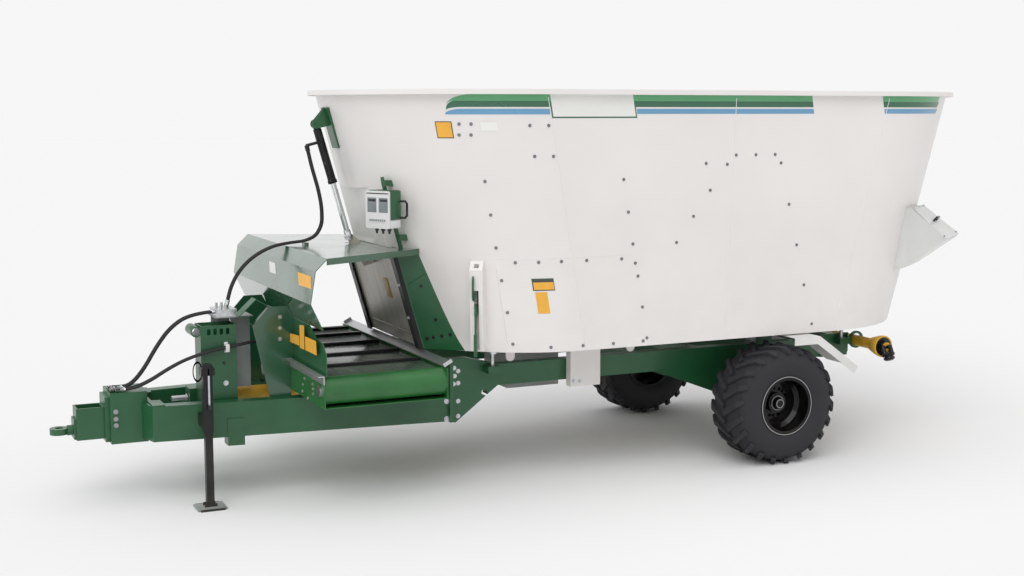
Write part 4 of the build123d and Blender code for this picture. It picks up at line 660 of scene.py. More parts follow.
    def plates(self) -> None:
        """Makes the blank sign panel, the blank plates and their borders."""
        rows = [
            ("blank_panel_edge", STRIPE_DARK, Stripe(0.010, 0.650, 2.524, 2.690), BORDER_OUT),
            ("blank_panel", LABEL_WHITE, Stripe(0.020, 0.640, 2.534, 2.690), PLATE_OUT),
            ("blank_warning_edge", LABEL_EDGE, Stripe(-0.780, -0.668, 2.394, 2.504), BORDER_OUT),
            ("blank_warning_plate", LABEL_ORANGE, Stripe(-0.774, -0.674, 2.400, 2.498), PLATE_OUT),
            ("blank_small_plate", LABEL_WHITE, Stripe(-0.482, -0.371, 2.442, 2.500), PLATE_OUT),
        ]
        for name, finish, row, out in rows:
            bm = bmesh.new()
            sides = list(Side) if "panel" in name else [Side.LEFT]
            for side in sides:
                self.sheet(bm, row, side, out, 12)
            finish_piece(name, bm, finish, shell=True)

    def line(self, bm: BMesh, points: Sequence[Vector]) -> None:
        """Adds a faint raised line through some points of the wall."""
        for first, second in zip(points, points[1:]):
            add_rod(bm, first, second, self.liner_radius, 6)

    def liner_corner(self) -> list[Vector]:
        """The points of the slanting seam at the tub's front, on the left."""
        start_x, start_z, stop_x, stop_z, steps = 0.770, 1.559, 0.656, 0.984, 8
        start, stop = self.along(start_x, start_z), self.along(stop_x, stop_z)
        shares = [k / steps for k in range(steps + 1)]
        return [self.wall(start * (1 - t) + stop * t, start_z + (stop_z - start_z) * t) for t in shares]

    def welds(self) -> None:
        """Makes the raised weld lines of the wall's sheets and the faint lines of its liner."""
        bm = bmesh.new()
        for side in Side:
            for low_x, high_x in self.SEAMS:
                low = self.wall(self.along(low_x, self.seam_low), self.seam_low, 0.0, side)
                high = self.wall(self.along(high_x, self.seam_high), self.seam_high, 0.0, side)
                add_rod(bm, low, high, self.seam_radius, 8)
        self.line(bm, self.liner_corner())
        start = self.along(self.liner_x, self.liner_z)
        for side in Side:
            places = [start + self.liner_step * k for k in range(self.liner_parts + 1)]
            self.line(bm, [self.wall(along, self.liner_z, 0.0, side) for along in places])
        finish_piece("wall_welds", bm, TUB_WHITE)

    def bolts(self) -> None:
        """Makes the bolt heads that hold the liner and the plates."""
        bm = bmesh.new()
        for side in Side:
            for x, z in self.BOLTS:
                along = self.along(x, z)
                add_bolt(
                    bm, self.wall(along, z, 0.0, side), self.outward(along, z, side), self.bolt_radius,
                )
        finish_piece("wall_bolts", bm, BOLT_GREY)

    def rail_joints(self) -> None:
        """Makes the small clips that join the lengths of the top rail."""
        below_top, inset, clip = 0.017, 0.004, (0.026, 0.030, 0.010)
        bm = bmesh.new()
        for side in Side:
            for x in self.RAIL_JOINTS:
                along = self.along(x, self.top)
                middle = self.wall(along, self.top - below_top, self.rim_out - inset, side)
                add_block(bm, aim(middle, self.outward(along, self.top, side)), clip, 0.002)
        finish_piece("rail_joints", bm, TUB_WHITE)

    def build(self) -> None:
        """Makes all the tub's pieces."""
        self.stripes()
        self.plates()
        self.welds()
        self.bolts()
        self.rail_joints()


@dataclass
class Wheel:
    """One wheel's trim: the rim's bright flange ring, its nuts and the hub cap's rings."""

    side: Side
    axle_x: float = -1.468
    axle_z: float = 0.437
    middle_y: float = 0.987
    flange_radius: float = 0.2135
    flange_out: float = 0.1795
    studs: int = 8
    stud_circle: float = 0.1025
    nut_radius: float = 0.0155
    nut_tip: float = 0.0140
    nut_span: tuple[float, float] = (0.004, 0.022)
    cap_rings: tuple = ((0.093, 0.030, 0.006, 0.004), (0.062, 0.052, 0.006, 0.005))

    def point(self, out: float, angle: float, radius: float) -> Vector:
        """A point by its distance outwards from the tyre's middle, its angle and its radius."""
        y = (self.middle_y + out) * self.side.value
        return Vector((self.axle_x + radius * math.cos(angle), y, self.axle_z + radius * math.sin(angle)))

    def ring(self, bm: BMesh, out: float, radius: float, high: float, wide: float) -> None:
        """Adds a flat ring round the axle.

        Args:
            bm: the mesh.
            out: its distance outwards.
            radius: the middle of its width.
            high: its width along the radius.
            wide: its thickness along the axle.
        """
        corners = [(out, radius - high / 2), (out + wide, radius - high / 2),
                   (out + wide, radius + high / 2), (out, radius + high / 2)]
        profile = [bm.verts.new(self.point(o, 0.0, r)) for o, r in corners]
        edges = [bm.edges.new((profile[i], profile[(i + 1) % 4])) for i in range(4)]
        bmesh.ops.spin(
            bm, geom=[*profile, *edges], cent=self.point(0.0, 0.0, 0.0), axis=(0, 1, 0), angle=math.tau,
            steps=72, use_merge=True,
        )

    def build(self) -> None:
        """Makes the wheel's pieces."""
        body = "wheel_left" if self.side is Side.LEFT else "wheel_right"
        bm = bmesh.new()
        self.ring(bm, self.flange_out, self.flange_radius, 0.006, 0.004)
        finish_piece(f"{body}_flange_ring", bm, GREY_PAINT, body)
        bm = bmesh.new()
        out = Vector((0, self.side.value, 0))
        foot, top = self.nut_span
        for k in range(self.studs):
            seat = self.point(0.0, math.tau * (k + 0.5) / self.studs, self.stud_circle)
            add_rod(bm, seat + out * foot, seat + out * top, self.nut_radius, 6, self.nut_tip)
        finish_piece(f"{body}_nuts", bm, ZINC, body)
        bm = bmesh.new()
        for out_by, radius, high, wide in self.cap_rings:
            self.ring(bm, out_by, radius, high, wide)
        finish_piece(f"{body}_cap_rings", bm, GREY_PAINT, body)


@dataclass(frozen=True)
class Viewpoint:
    """Where the photograph was taken from, and the middle and focal length of the picture in pixels."""

    eye: Point = (4.606, 9.581, 2.575)
    yaw: float = 24.689
    pitch: float = 7.12
    focal: float = 1422.2
    middle_u: float = 512
    middle_v: float = 288

    def axes(self) -> tuple[Vector, Vector, Vector]:
        """The directions to the right, upwards and forwards in the picture."""
        yaw, pitch = math.radians(self.yaw), math.radians(self.pitch)
        level = math.cos(pitch)
        forward = Vector((-math.sin(yaw) * level, -math.cos(yaw) * level, -math.sin(pitch)))
        right = Vector((-math.cos(yaw), math.sin(yaw), 0.0))
        return right, right.cross(forward), forward

    def line(self, u: float, v: float) -> Vector:
        """The direction from the eye through a spot of the picture."""
        right, up, forward = self.axes()
        across, rise = (u - self.middle_u) / self.focal, (self.middle_v - v) / self.focal
        return (forward + right * across + up * rise).normalized()


@dataclass
class Seats:
    """Finds the places of small parts on the CAD's surfaces, from a spot of the picture or from a line."""

    nodes: dict[str, bpy.types.Object]
    view: Viewpoint = Viewpoint()

    def along(self, start: Sequence[float], way: Vector, *names: str) -> tuple[Vector, Vector] | None:
        """The nearest place on some nodes along a line.

        Args:
            start: where the line starts.
            way: its direction.
            names: the nodes that may carry the part.

        Returns:
            The place and the direction out of the surface, or None.
        """
        found = []
        for name in names:
            hit, at, normal, _ = self.nodes[name].ray_cast(Vector(start), way)
            if hit:
                out = normal if normal.dot(way) < 0 else -normal
                found.append(((at - Vector(start)).length, at, out))
        if not found:
            log.warning("nothing of %s lies on that line", names)
            return None
        _, at, out = min(found, key=lambda row: row[0])
        return at, out

    def spot(self, u: float, v: float, *names: str) -> tuple[Vector, Vector] | None:
        """The place on some nodes behind a spot of the picture."""
        return self.along(self.view.eye, self.view.line(u, v), *names)


@dataclass
class DoorFront:
    """The discharge door's label, its rails' clips and the bolts at its foot."""

    seats: Seats
    foot: Point = (1.132, 0.0, 0.980)
    tilt: float = math.atan(0.288)
    face: float = 0.011
    reach: float = 0.3
    rib_ups: tuple[float, float] = (0.06, 0.62)
    rib_across: float = 0.455
    clip_across: float = 0.508
    clip_ups: tuple[float, float, float] = (0.20, 0.44, 0.66)
    clip_out: float = 0.030
    clip: Point = (0.030, 0.020, 0.008)
    # Across and up of each bolt of the door's frame
    bolts: tuple = ((0.57, 0.03), (0.60, 0.03), (0.64, 0.03), (0.68, 0.03), (0.60, 0.40), (0.63, 0.15))
    # Across and up of each crease's near and far end
    creases: tuple = (
        ((0.552, 0.13), (0.69, 0.17)), ((0.552, 0.28), (0.66, 0.33)), ((0.552, 0.43), (0.63, 0.48)),
    )

    def place(self, across: float, up: float, out: float) -> Matrix:
        """A placement in the door's plane, with X across it, Y up it and Z out of it."""
        normal = Vector((math.cos(self.tilt), 0.0, -math.sin(self.tilt)))
        rise = Vector((math.sin(self.tilt), 0.0, math.cos(self.tilt)))
        turn = Matrix((Vector((0, 1, 0)), rise, normal)).transposed().to_4x4()
        return Matrix.Translation(Vector(self.foot) + rise * up + normal * out + Vector((0, across, 0))) @ turn

    def on_frame(self, across: float, up: float) -> tuple[Vector, Vector] | None:
        """The place on the door's frame behind a place of the door's plane, and the way out of it."""
        start = self.place(across, up, self.reach).translation
        way = self.place(0, 0, 0).to_3x3() @ Vector((0, 0, -1))
        return self.seats.along(start, way, "door_frame")

    def door(self) -> None:
        """Makes the pieces that slide with the door."""
        bm = bmesh.new()
        add_block(bm, self.place(0.17, 0.375, self.face + 0.0004), (0.125, 0.15, 0.0012), 0.0003)
        finish_piece("door_blank_label", bm, LABEL_ORANGE, "door")
        bm = bmesh.new()
        for up in self.rib_ups:
            add_block(bm, self.place(0.0, up, self.face), (0.93, 0.018, 0.006), 0.002)
        for side in Side:
            place = self.place(-self.rib_across * side.value, 0.34, self.face)
            add_block(bm, place, (0.014, 0.56, 0.005), 0.002)
        finish_piece("door_pressed_ribs", bm, STAINLESS, "door")

    def clips(self) -> None:
        """Makes the clips that hold the door's rails."""
        bm = bmesh.new()
        for side in Side:
            for up in self.clip_ups:
                place = self.place(-self.clip_across * side.value, up, self.clip_out)
                add_block(bm, place, self.clip, 0.002)
                bolt = place @ Vector((0.0, 0.0, self.clip[2] / 2))
                add_bolt(bm, bolt, place.to_3x3() @ Vector((0, 0, 1)), 0.008)
        finish_piece("rail_clips", bm, ZINC)

    def frame(self) -> None:
        """Makes the bolts and creases of the door's frame."""
        bm = bmesh.new()
        for side in Side:
            for across, up in self.bolts:
                spot = self.on_frame(across * side.value, up)
                if spot:
                    add_bolt(bm, spot[0], spot[1], 0.009)
        finish_piece("door_frame_bolts", bm, GLOSS_DARK)
        bm = bmesh.new()
        for side in Side:
            for row in self.creases:
                ends = [self.on_frame(across * side.value, up) for across, up in row]
                if all(ends):
                    add_rod(bm, ends[0][0], ends[1][0], 0.0028, 8)
        finish_piece("fairing_creases", bm, GREEN)

    def build(self) -> None:
        """Makes the door's pieces."""
        self.door()
        self.clips()
        self.frame()


@dataclass
class SmallBolts:
    """The bolt heads that show on the frame, the conveyor and the hood."""

    seats: Seats

    def group(self, name: str, finish: Finish, radius: float, spots: list, *nodes: str, twin: bool = False) -> None:
        """Makes one group of bolts.

        Args:
            name: the piece's name.
            finish: its surface.
            radius: the heads' radius.
            spots: the bolts' spots in the picture.
            nodes: the nodes that may carry them.
            twin: whether the far side has the same bolts.
        """
        bm = bmesh.new()
        for u, v in spots:
            found = self.seats.spot(u, v, *nodes)
            if not found:
                continue
            at, out = found
            add_bolt(bm, at, out, radius)
            if twin:
                add_bolt(bm, (at.x, -at.y, at.z), (out.x, -out.y, out.z), radius)
        finish_piece(name, bm, finish)

    def build(self) -> None:
        """Makes all the groups."""
        # Name, finish, radius, spots in the picture, nodes that carry them, the same on the far side
        groups = [
            ("support_bolts", ZINC, 0.010, [(280, 317), (280, 328), (280, 339)], ("deflector_hood",), True),
            (
                "bearing_bolts", ZINC, 0.009,
                [(304.5, 372.5), (304.5, 378.5), (312.5, 378), (312.5, 384), (303, 384.5), (302.5, 391),
                 (313, 394), (308, 398), (313, 389)],
                ("conveyor_bed",), True,
            ),
            (
                "flange_bolts", ZINC, 0.012,
                [(454, 368), (454.5, 376), (453.5, 384), (458, 371), (458, 383), (458, 401), (458, 416)],
                ("chassis_frame", "drawbar_frame"), True,
            ),
            ("long_bolts", ZINC, 0.016, [(447, 401), (447, 419)], ("drawbar_frame",), True),
            ("tower_bolts", ZINC, 0.013, [(226, 383), (240, 382)], ("control_tower",), False),
            (
                "tower_dark_bolts", GLOSS_DARK, 0.008, [(224, 363), (241, 361), (239, 395)],
                ("control_tower",), False,
            ),
            (
                "post_bolts", GLOSS_DARK, 0.010, [(262, 380), (262, 391)],
                ("drawbar_frame", "deflector_hood"), False,
            ),
            ("leg_bolts", ZINC, 0.011, [(574, 381), (580, 381)], ("mixing_tub",), False),
        ]
        for name, finish, radius, spots, nodes, twin in groups:
            self.group(name, finish, radius, spots, *nodes, twin=twin)


@dataclass
class ConveyorBelt:
    """The smooth belt between the conveyor's bars and its five tall bars."""

    front: float = 1.988
    rear: float = 1.192
    half: float = 0.985
    face_z: float = 0.8925
    bar_rows: tuple = (-0.894, -0.596, -0.184, 0.248, 0.660)
    bar_wide: float = 0.034
    bar_high: float = 0.020
    bar_sunk: float = 0.001
    belt_thick: float = 0.006

    def build(self) -> None:
        """Makes the belt and the bars."""
        middle, long = (self.front + self.rear) / 2, self.front - self.rear
        bm = bmesh.new()
        place = Matrix.Translation((middle, 0.0, self.face_z - self.belt_thick / 2))
        add_block(bm, place, (long, 2 * self.half, self.belt_thick), 0.002)
        finish_piece("conveyor_belt", bm, BELT_FACE)
        bm = bmesh.new()
        for y in self.bar_rows:
            place = Matrix.Translation((middle, y, self.face_z + self.bar_high / 2 - self.bar_sunk))
            add_block(bm, place, (long, self.bar_wide, self.bar_high), 0.003)
        finish_piece("conveyor_tall_bars", bm, BLACK_PAINT)


@dataclass
class NoseTrim:
    """The drawbar nose's bolt discs, by the X and Z of each."""

    rows: tuple = ((3.140, 0.608), (3.140, 0.560), (3.140, 0.517))
    face_y: float = 0.158
    half_thick: float = 0.004
    radius: float = 0.0165
    rounding: float = 0.94

    def build(self) -> None:
        """Makes the discs on both sides."""
        bm = bmesh.new()
        for side in Side:
            for x, z in self.rows:
                start = Vector((x, (self.face_y - self.half_thick) * side.value, z))
                end = Vector((x, (self.face_y + self.half_thick) * side.value, z))
                add_rod(bm, start, end, self.radius, 24, self.radius * self.rounding)
        finish_piece("nose_bolt_discs", bm, GREY_PAINT)


@dataclass
class JackTrim:
    """The parking jack's zinc strip with its knob, its wire loop and the pale foot."""

    x: float = 2.620
    y: float = 0.544
    half: float = 0.030
    strip_back: float = 0.004
    strip_z: float = 0.800
    strip: Point = (0.013, 0.006, 0.255)
    loop_z: float = 0.905
    loop_x: float = 0.059
    loop_radius: float = 0.029
    loop_wire: float = 0.0035
    loop_stretch: float = 2.1
    foot_z: float = 0.0071
    foot: Point = (0.1916, 0.1616, 0.0138)

    def strip_pieces(self) -> None:
        """Makes the strip on the jack's tube and the knob at its foot."""
        face, x = self.y + self.half, self.x - self.strip_back
        bm = bmesh.new()
        add_block(bm, Matrix.Translation((x, face + 0.005, self.strip_z)), self.strip, 0.002)
        finish_piece("jack_strip", bm, ZINC)
        bm = bmesh.new()
        add_rod(bm, (x, face + 0.004, 0.672), (x, face + 0.022, 0.672), 0.013, 20)
        add_rod(bm, (x, face + 0.006, 0.676), (x - 0.014, face + 0.012, 0.655), 0.006, 12)
        finish_piece("jack_strip_knob", bm, GLOSS_DARK)

    def wire_loop(self) -> None:
        """Makes the oval loop of wire beside the jack's tube, clear of the leg inside it."""
        middle = Vector((self.x + self.loop_x, self.y, self.loop_z))
        start = middle + Vector((self.loop_radius, 0, 0))
        bm = bmesh.new()
        ring = bmesh.ops.create_circle(
            bm, segments=10, radius=self.loop_wire,
            matrix=Matrix.Translation(start) @ Matrix.Rotation(math.pi / 2, 4, "X"),
        )
        wire = [*ring["verts"], *{edge for vertex in ring["verts"] for edge in vertex.link_edges}]
        bmesh.ops.spin(
            bm, geom=wire, cent=middle, axis=(0, 1, 0), angle=math.tau, steps=40, use_merge=True,
        )
        bmesh.ops.scale(
            bm, verts=bm.verts, vec=(1.0, 1.0, self.loop_stretch), space=Matrix.Translation(-middle),
        )
        finish_piece("jack_wire_loop", bm, ZINC)

    def build(self) -> None:
        """Makes the jack's pieces."""
        self.strip_pieces()
        self.wire_loop()
        bm = bmesh.new()
        add_block(bm, Matrix.Translation((self.x, self.y, self.foot_z)), self.foot, 0.002)
        finish_piece("jack_foot_plate", bm, GREY_PAINT, "jack_leg")


@dataclass
class DisplayTrim:
    """The weighing display's face, side cover, handle and glands.

    The sizes of its thin sheets are written where each is placed: across, up and thick.
    """

    middle: Point = (1.476, 0.634, 1.920)
    normal: Point = (0.872, 0.49, 0.0)
    wide: float = 0.210
    high: float = 0.250
    window_across: float = 0.05
    keys: int = 8
    key_start: float = -0.063
    key_step: float = 0.018
    key_up: float = -0.070
    gland_across: float = 0.055
    handle_radius: float = 0.0075

    def place(self, across: float, up: float, out: float) -> Matrix:
        """A placement on the display, with X across it, Y up it and Z out of its face."""
        normal = Vector(self.normal).normalized()
        across_way = Vector((-normal.y, normal.x, 0.0))
        turn = Matrix((across_way, Vector((0, 0, 1)), normal)).transposed().to_4x4()
        origin = Vector(self.middle) + across_way * across + Vector((0, 0, up)) + normal * out
        return Matrix.Translation(origin) @ turn

    def face(self) -> None:
        """Makes the windows, the dark lines and the keys of the display's face."""
        columns = (-self.window_across, self.window_across)
        bm = bmesh.new()
        for across in columns:
            add_block(bm, self.place(across, 0.03, -0.0030), (0.078, 0.096, 0.0016), 0.0004)
        finish_piece("display_windows", bm, WINDOW_GREY)
        bm = bmesh.new()
        for across in columns:
            add_block(bm, self.place(across, 0.062, -0.0018), (0.064, 0.016, 0.0012), 0.0003)
        add_block(bm, self.place(0.0, 0.108, 0.0004), (0.190, 0.007, 0.0016), 0.0004)
        finish_piece("display_dark_lines", bm, GLOSS_DARK)
        bm = bmesh.new()
        for step in range(self.keys):
            place = self.place(self.key_start + self.key_step * step, self.key_up, 0.0036)
            add_block(bm, place, (0.012, 0.014, 0.0020), 0.0006)
        finish_piece("display_keys", bm, WINDOW_GREY)

    def covers(self) -> None:
        """Makes the thin covers on the display's side and top."""
        side = self.wide / 2
        bm = bmesh.new()
        add_block(bm, self.place(side + 0.0022, 0.028, -0.060), (0.003, 0.190, 0.104), 0.001)
        add_block(bm, self.place(0.01, self.high / 2 + 0.0022, -0.060), (0.190, 0.003, 0.104), 0.001)
        finish_piece("display_cover", bm, GREEN)
        bm = bmesh.new()
        add_block(bm, self.place(side + 0.0026, -0.095, -0.050), (0.004, 0.050, 0.080), 0.001)
        finish_piece("display_lower_cover", bm, WHITE_PLASTIC)

    def handle(self) -> None:
        """Makes the round handle on the display's side."""
        side = self.wide / 2
        # Across, up and out of each corner of the handle's upper half, from its foot to its bend
        half = [(side - 0.004, 0.055, -0.106), (side + 0.034, 0.055, -0.120), (side + 0.046, 0.040, -0.124)]
        route = half + [(across, -up, out) for across, up, out in reversed(half)]
        points = [self.place(*row).translation for row in route]
        bm = bmesh.new()
        for start, end in zip(points, points[1:]):
            add_rod(bm, start, end, self.handle_radius, 14)
            bmesh.ops.create_uvsphere(
                bm, u_segments=14, v_segments=8, radius=self.handle_radius, matrix=Matrix.Translation(end),
            )
        finish_piece("display_handle", bm, GLOSS_DARK)

    def glands(self) -> None:
        """Makes the three cable glands under the display."""
        down = Vector((0, 0, -1))
        bm = bmesh.new()
        for across in (-self.gland_across, 0.0, self.gland_across):
            top = self.place(across, -self.high / 2 + 0.004, -0.055).translation
            add_rod(bm, top, top + down * 0.022, 0.014, 6)
            add_rod(bm, top + down * 0.020, top + down * 0.042, 0.010, 16, 0.006)
        finish_piece("display_glands", bm, GLOSS_DARK)

    def build(self) -> None:
        """Makes the display's pieces."""
        self.face()
        self.covers()
        self.handle()
        self.glands()


@dataclass
class HopperTrim:
    """The hopper lid's black handle, its hinge knuckles and the corner bolts."""

    angle: float = 127.5
    reach: float = 1.142
    middle_x: float = -2.141
    top: float = 1.835
    run: float = 0.255
    fall: float = 0.213
    grip: Point = (0.0165, 0.1045, 0.0145)
    grip_out: float = 0.0405
    post: Point = (0.0145, 0.0145, 0.0290)
    post_across: float = 0.045
    post_out: float = 0.0210
    knuckle_across: float = 0.15
    knuckle_half: float = 0.03
    knuckle_radius: float = 0.0065
    bolt_across: float = 0.225

    def place(self, down: float, across: float, out: float) -> Matrix:
        """A placement on the lid, with X down its slope, Y across it and Z out of it."""
        turn = math.radians(self.angle)
        away = Vector((math.cos(turn), math.sin(turn), 0.0))
        slope = math.atan2(self.fall, self.run)
        fall = away * math.cos(slope) - Vector((0, 0, math.sin(slope)))
        face = away * math.sin(slope) + Vector((0, 0, math.cos(slope)))
        side = face.cross(fall)
        origin = Vector((self.middle_x, 0.0, self.top)) + away * self.reach
        spot = origin + fall * down + side * across + face * out
        return Matrix.Translation(spot) @ Matrix((fall, side, face)).transposed().to_4x4()

    def build(self) -> None:
        """Makes the lid's pieces."""
        long = math.hypot(self.run, self.fall)
        bm = bmesh.new()
        add_block(bm, self.place(long / 2, 0.0, self.grip_out), self.grip, 0.003)
        for across in (-self.post_across, self.post_across):
            add_block(bm, self.place(long / 2, across, self.post_out), self.post, 0.002)
        finish_piece("lid_handle", bm, GLOSS_DARK, "hopper_lid")
        bm = bmesh.new()
        for across in (-self.knuckle_across, 0.0, self.knuckle_across):
            ends = [self.place(0.006, across + way * self.knuckle_half, 0.009).translation for way in (-1, 1)]
            add_rod(bm, ends[0], ends[1], self.knuckle_radius, 16)
        finish_piece("lid_knuckles", bm, ZINC, "hopper_lid")
        bm = bmesh.new()
        for across in (-self.bolt_across, self.bolt_across):
            spot = self.place(long - 0.012, across, 0.0065)
            add_bolt(bm, spot.translation, spot.to_3x3() @ Vector((0, 0, 1)), 0.007)
        finish_piece("lid_bolts", bm, BOLT_GREY, "hopper_lid")


@dataclass
class FeedBoardTrim:
    """The blank labels on the feed board, the hood and the tub."""

    # Y and Z of the corners of each label on the feed board
    BOARD_LABELS: ClassVar[tuple] = (
        ((0.26, 1.020), (0.555, 1.030), (0.548, 1.096), (0.26, 1.078)),
        ((0.563, 1.018), (0.667, 1.020), (0.667, 1.180), (0.563, 1.172)),
        ((0.690, 1.022), (0.940, 1.025), (0.930, 1.116), (0.685, 1.112)),
    )
    # Name, finish and the corners in the picture of each label on the hood
    HOOD_LABELS: ClassVar[tuple] = (
        ("hood_orange_label", LABEL_ORANGE, ((298, 272), (311, 276.5), (311.5, 289), (299, 285))),
        ("hood_white_label", LABEL_WHITE, ((269.5, 261), (275.5, 263), (276, 274), (270, 272))),
    )
    # Name, finish, lowest and highest X, low and high Z of each label on the tub, and how far it stands off
    TUB_LABELS: ClassVar[tuple] = (
        ("tub_upper_label", LABEL_EDGE, 0.374, 0.523, 1.372, 1.456, 0.0014),
        ("tub_lower_label", LABEL_ORANGE, 0.400, 0.480, 1.215, 1.362, 0.0014),
    )

    seats: Seats
    tub: TubShell
    board_x: float = 2.003
    board_label_thick: float = 0.0012
    gap: float = 0.0008
    hood_label_thick: float = 0.001

    def board(self) -> None:
        """Makes the labels on the feed board."""
        facing_front = Matrix(((0, 0, 1, 0), (1, 0, 0, 0), (0, 1, 0, 0), (0, 0, 0, 1)))
        place = Matrix.Translation((self.board_x, 0.0, 0.0)) @ facing_front
        bm = bmesh.new()
        for outline in self.BOARD_LABELS:
            add_plate(bm, place, outline, self.board_label_thick)
        finish_piece("board_blank_labels", bm, LABEL_ORANGE)

    def hood(self) -> None:
        """Makes the labels on the hood."""
        for name, finish, corners in self.HOOD_LABELS:
            found = [self.seats.spot(u, v, "deflector_hood") for u, v in corners]
            if not all(found):
                continue
            bm = bmesh.new()
            face = bm.faces.new([bm.verts.new(at + out * self.gap) for at, out in found])
            thicken(bm, face, found[0][1] * self.hood_label_thick)
            finish_piece(name, bm, finish)

    def on_tub(self, name: str, finish: Finish, span: tuple[float, float], level: float,
               heights: tuple[float, float], out: float) -> None:
        """Makes one label on both sides of the tub.

        Args:
            name: the piece's name.
            finish: its surface.
            span: its lowest and highest X.
            level: the height at which that X is measured.
            heights: its low and high Z.
            out: how far it stands off the wall.
        """
        start, stop = (self.tub.along(x, level) for x in reversed(span))
        bm = bmesh.new()
        for side in Side:
            self.tub.sheet(bm, Stripe(start, stop, *heights), side, out, 10)
        finish_piece(name, bm, finish, shell=True)

    def build(self) -> None:
        """Makes the blank labels."""
        self.board()
        self.hood()
        for name, finish, low_x, high_x, low, high, out in self.TUB_LABELS:
            self.on_tub(name, finish, (low_x, high_x), low, (low, high), out)
        self.on_tub("tub_upper_label_face", LABEL_ORANGE, (0.380, 0.517), 1.38, (1.379, 1.430), 0.0020)


@dataclass
class TowerTrim:
    """The white clip that holds the two lower hoses to the tower."""

    x: float = 2.424
    face_y: float = 0.258
    middle_z: float = 1.005
    wide: float = 0.026
    # Distance off the tower, height off the middle, reach, height and edge of each wall of the clip
    walls: tuple = (
        (0.028, 0.021, 0.054, 0.010, 0.003), (0.028, -0.021, 0.054, 0.010, 0.003),
        (0.052, 0.0, 0.008, 0.052, 0.003), (0.003, 0.0, 0.008, 0.070, 0.002),
    )

    def build(self) -> None:
        """Makes the clip."""
        bm = bmesh.new()
        for out, up, reach, high, edge in self.walls:
            place = Matrix.Translation((self.x, self.face_y + out, self.middle_z + up))
            add_block(bm, place, (self.wide, reach, high), edge)
        finish_piece("tower_hose_clip", bm, WHITE_PLASTIC)


@dataclass
class Driveline:
    """The stowed shaft's ribs, dark bell mouths and hanging yokes."""

    x: float = -2.522
    z: float = 0.7673
    tube_radius: float = 0.042
    bell_radius: float = 0.082
    bell_long: float = 0.130
    bell_lip: float = 0.024
    # Y of each bell's narrow end, and the way that it opens
    bells: tuple[tuple[float, int], ...] = ((-0.700, -1), (0.778, 1))
    rib_shares: tuple[float, float, float] = (0.25, 0.5, 0.75)
    rib_wide: float = 0.006
    boot_rings: int = 3
    joint_out: float = 0.040
    lean: float = 0.45
    cross_half: float = 0.041
    fore_half: float = 0.036
    pin_radius: float = 0.012
    arm_across: float = 0.034
    yoke_drop: float = 0.062
    # From, to, radius, sides and end radius of each turned part of the yoke, from its base downwards
    yoke_rows: tuple = (
        (0.0, 0.016, 0.052, 28, 0.044), (0.014, 0.048, 0.030, 24, 0.030), (0.026, 0.040, 0.043, 28, 0.043),
    )

    def spot(self, y: float) -> Vector:
        """A point on the shaft's line."""
        return Vector((self.x, y, self.z))

    def mouth(self, start: float, way: int) -> float:
        """The Y of a bell's mouth."""
        return start + way * (self.bell_long + self.bell_lip)

    def ribs(self) -> None:
        """Makes the ribs of the bells and of the tube's joint."""
        bm = bmesh.new()
        for start, way in self.bells:
            for share in self.rib_shares:
                radius = self.tube_radius + (self.bell_radius - self.tube_radius) * share
                y = start + way * self.bell_long * share
                end = self.spot(y + way * self.rib_wide)
                add_rod(bm, self.spot(y), end, radius + 0.0022, 40, radius + 0.0042)
            lip = self.mouth(start, way)
            add_rod(bm, self.spot(lip - way * 0.008), self.spot(lip + way * 0.003), self.bell_radius + 0.0015, 48)
        add_rod(bm, self.spot(0.0), self.spot(0.012), self.tube_radius + 0.003, 32)
        finish_piece("shaft_bell_ribs", bm, YELLOW)

    def boots(self) -> None:
        """Makes the dark boots in the bells' mouths."""
        bm = bmesh.new()
        for start, way in self.bells:
            mouth = self.mouth(start, way)
            add_rod(bm, self.spot(mouth + way * 0.001), self.spot(mouth + way * 0.0042), 0.072, 40)
            for ring in range(self.boot_rings):
                y = mouth + way * (0.006 + 0.011 * ring)
                add_rod(bm, self.spot(y), self.spot(y + way * 0.007), 0.056 - 0.005 * ring, 36)
        finish_piece("shaft_bell_boot", bm, GLOSS_DARK)

    def yokes(self) -> None:
        """Makes the yokes that hang from the shaft's universal joints."""
        cross = Vector((1.0, 0.0, 0.0))
        bm = bmesh.new()
        for start, way in self.bells:
            joint = self.spot(self.mouth(start, way) + way * self.joint_out)
            hang = Vector((0.0, way * self.lean, -1.0)).normalized()
            fore = hang.cross(cross)
            for pin, half in ((cross, self.cross_half), (fore, self.fore_half)):
                add_rod(bm, joint - pin * half, joint + pin * half, self.pin_radius, 18)
            for turn in (1, -1):
                arm = joint + cross * self.arm_across * turn
                add_rod(bm, arm - hang * 0.012, arm + hang * self.yoke_drop, 0.017, 16, 0.020)
            base = joint + hang * (self.yoke_drop - 0.006)
            for first, last, radius, sides, tip in self.yoke_rows:
                add_rod(bm, base + hang * first, base + hang * last, radius, sides, tip)
        finish_piece("shaft_yokes", bm, BLACK_PAINT)

    def build(self) -> None:
        """Makes the shaft's pieces."""
        self.ribs()
        self.boots()
        self.yokes()


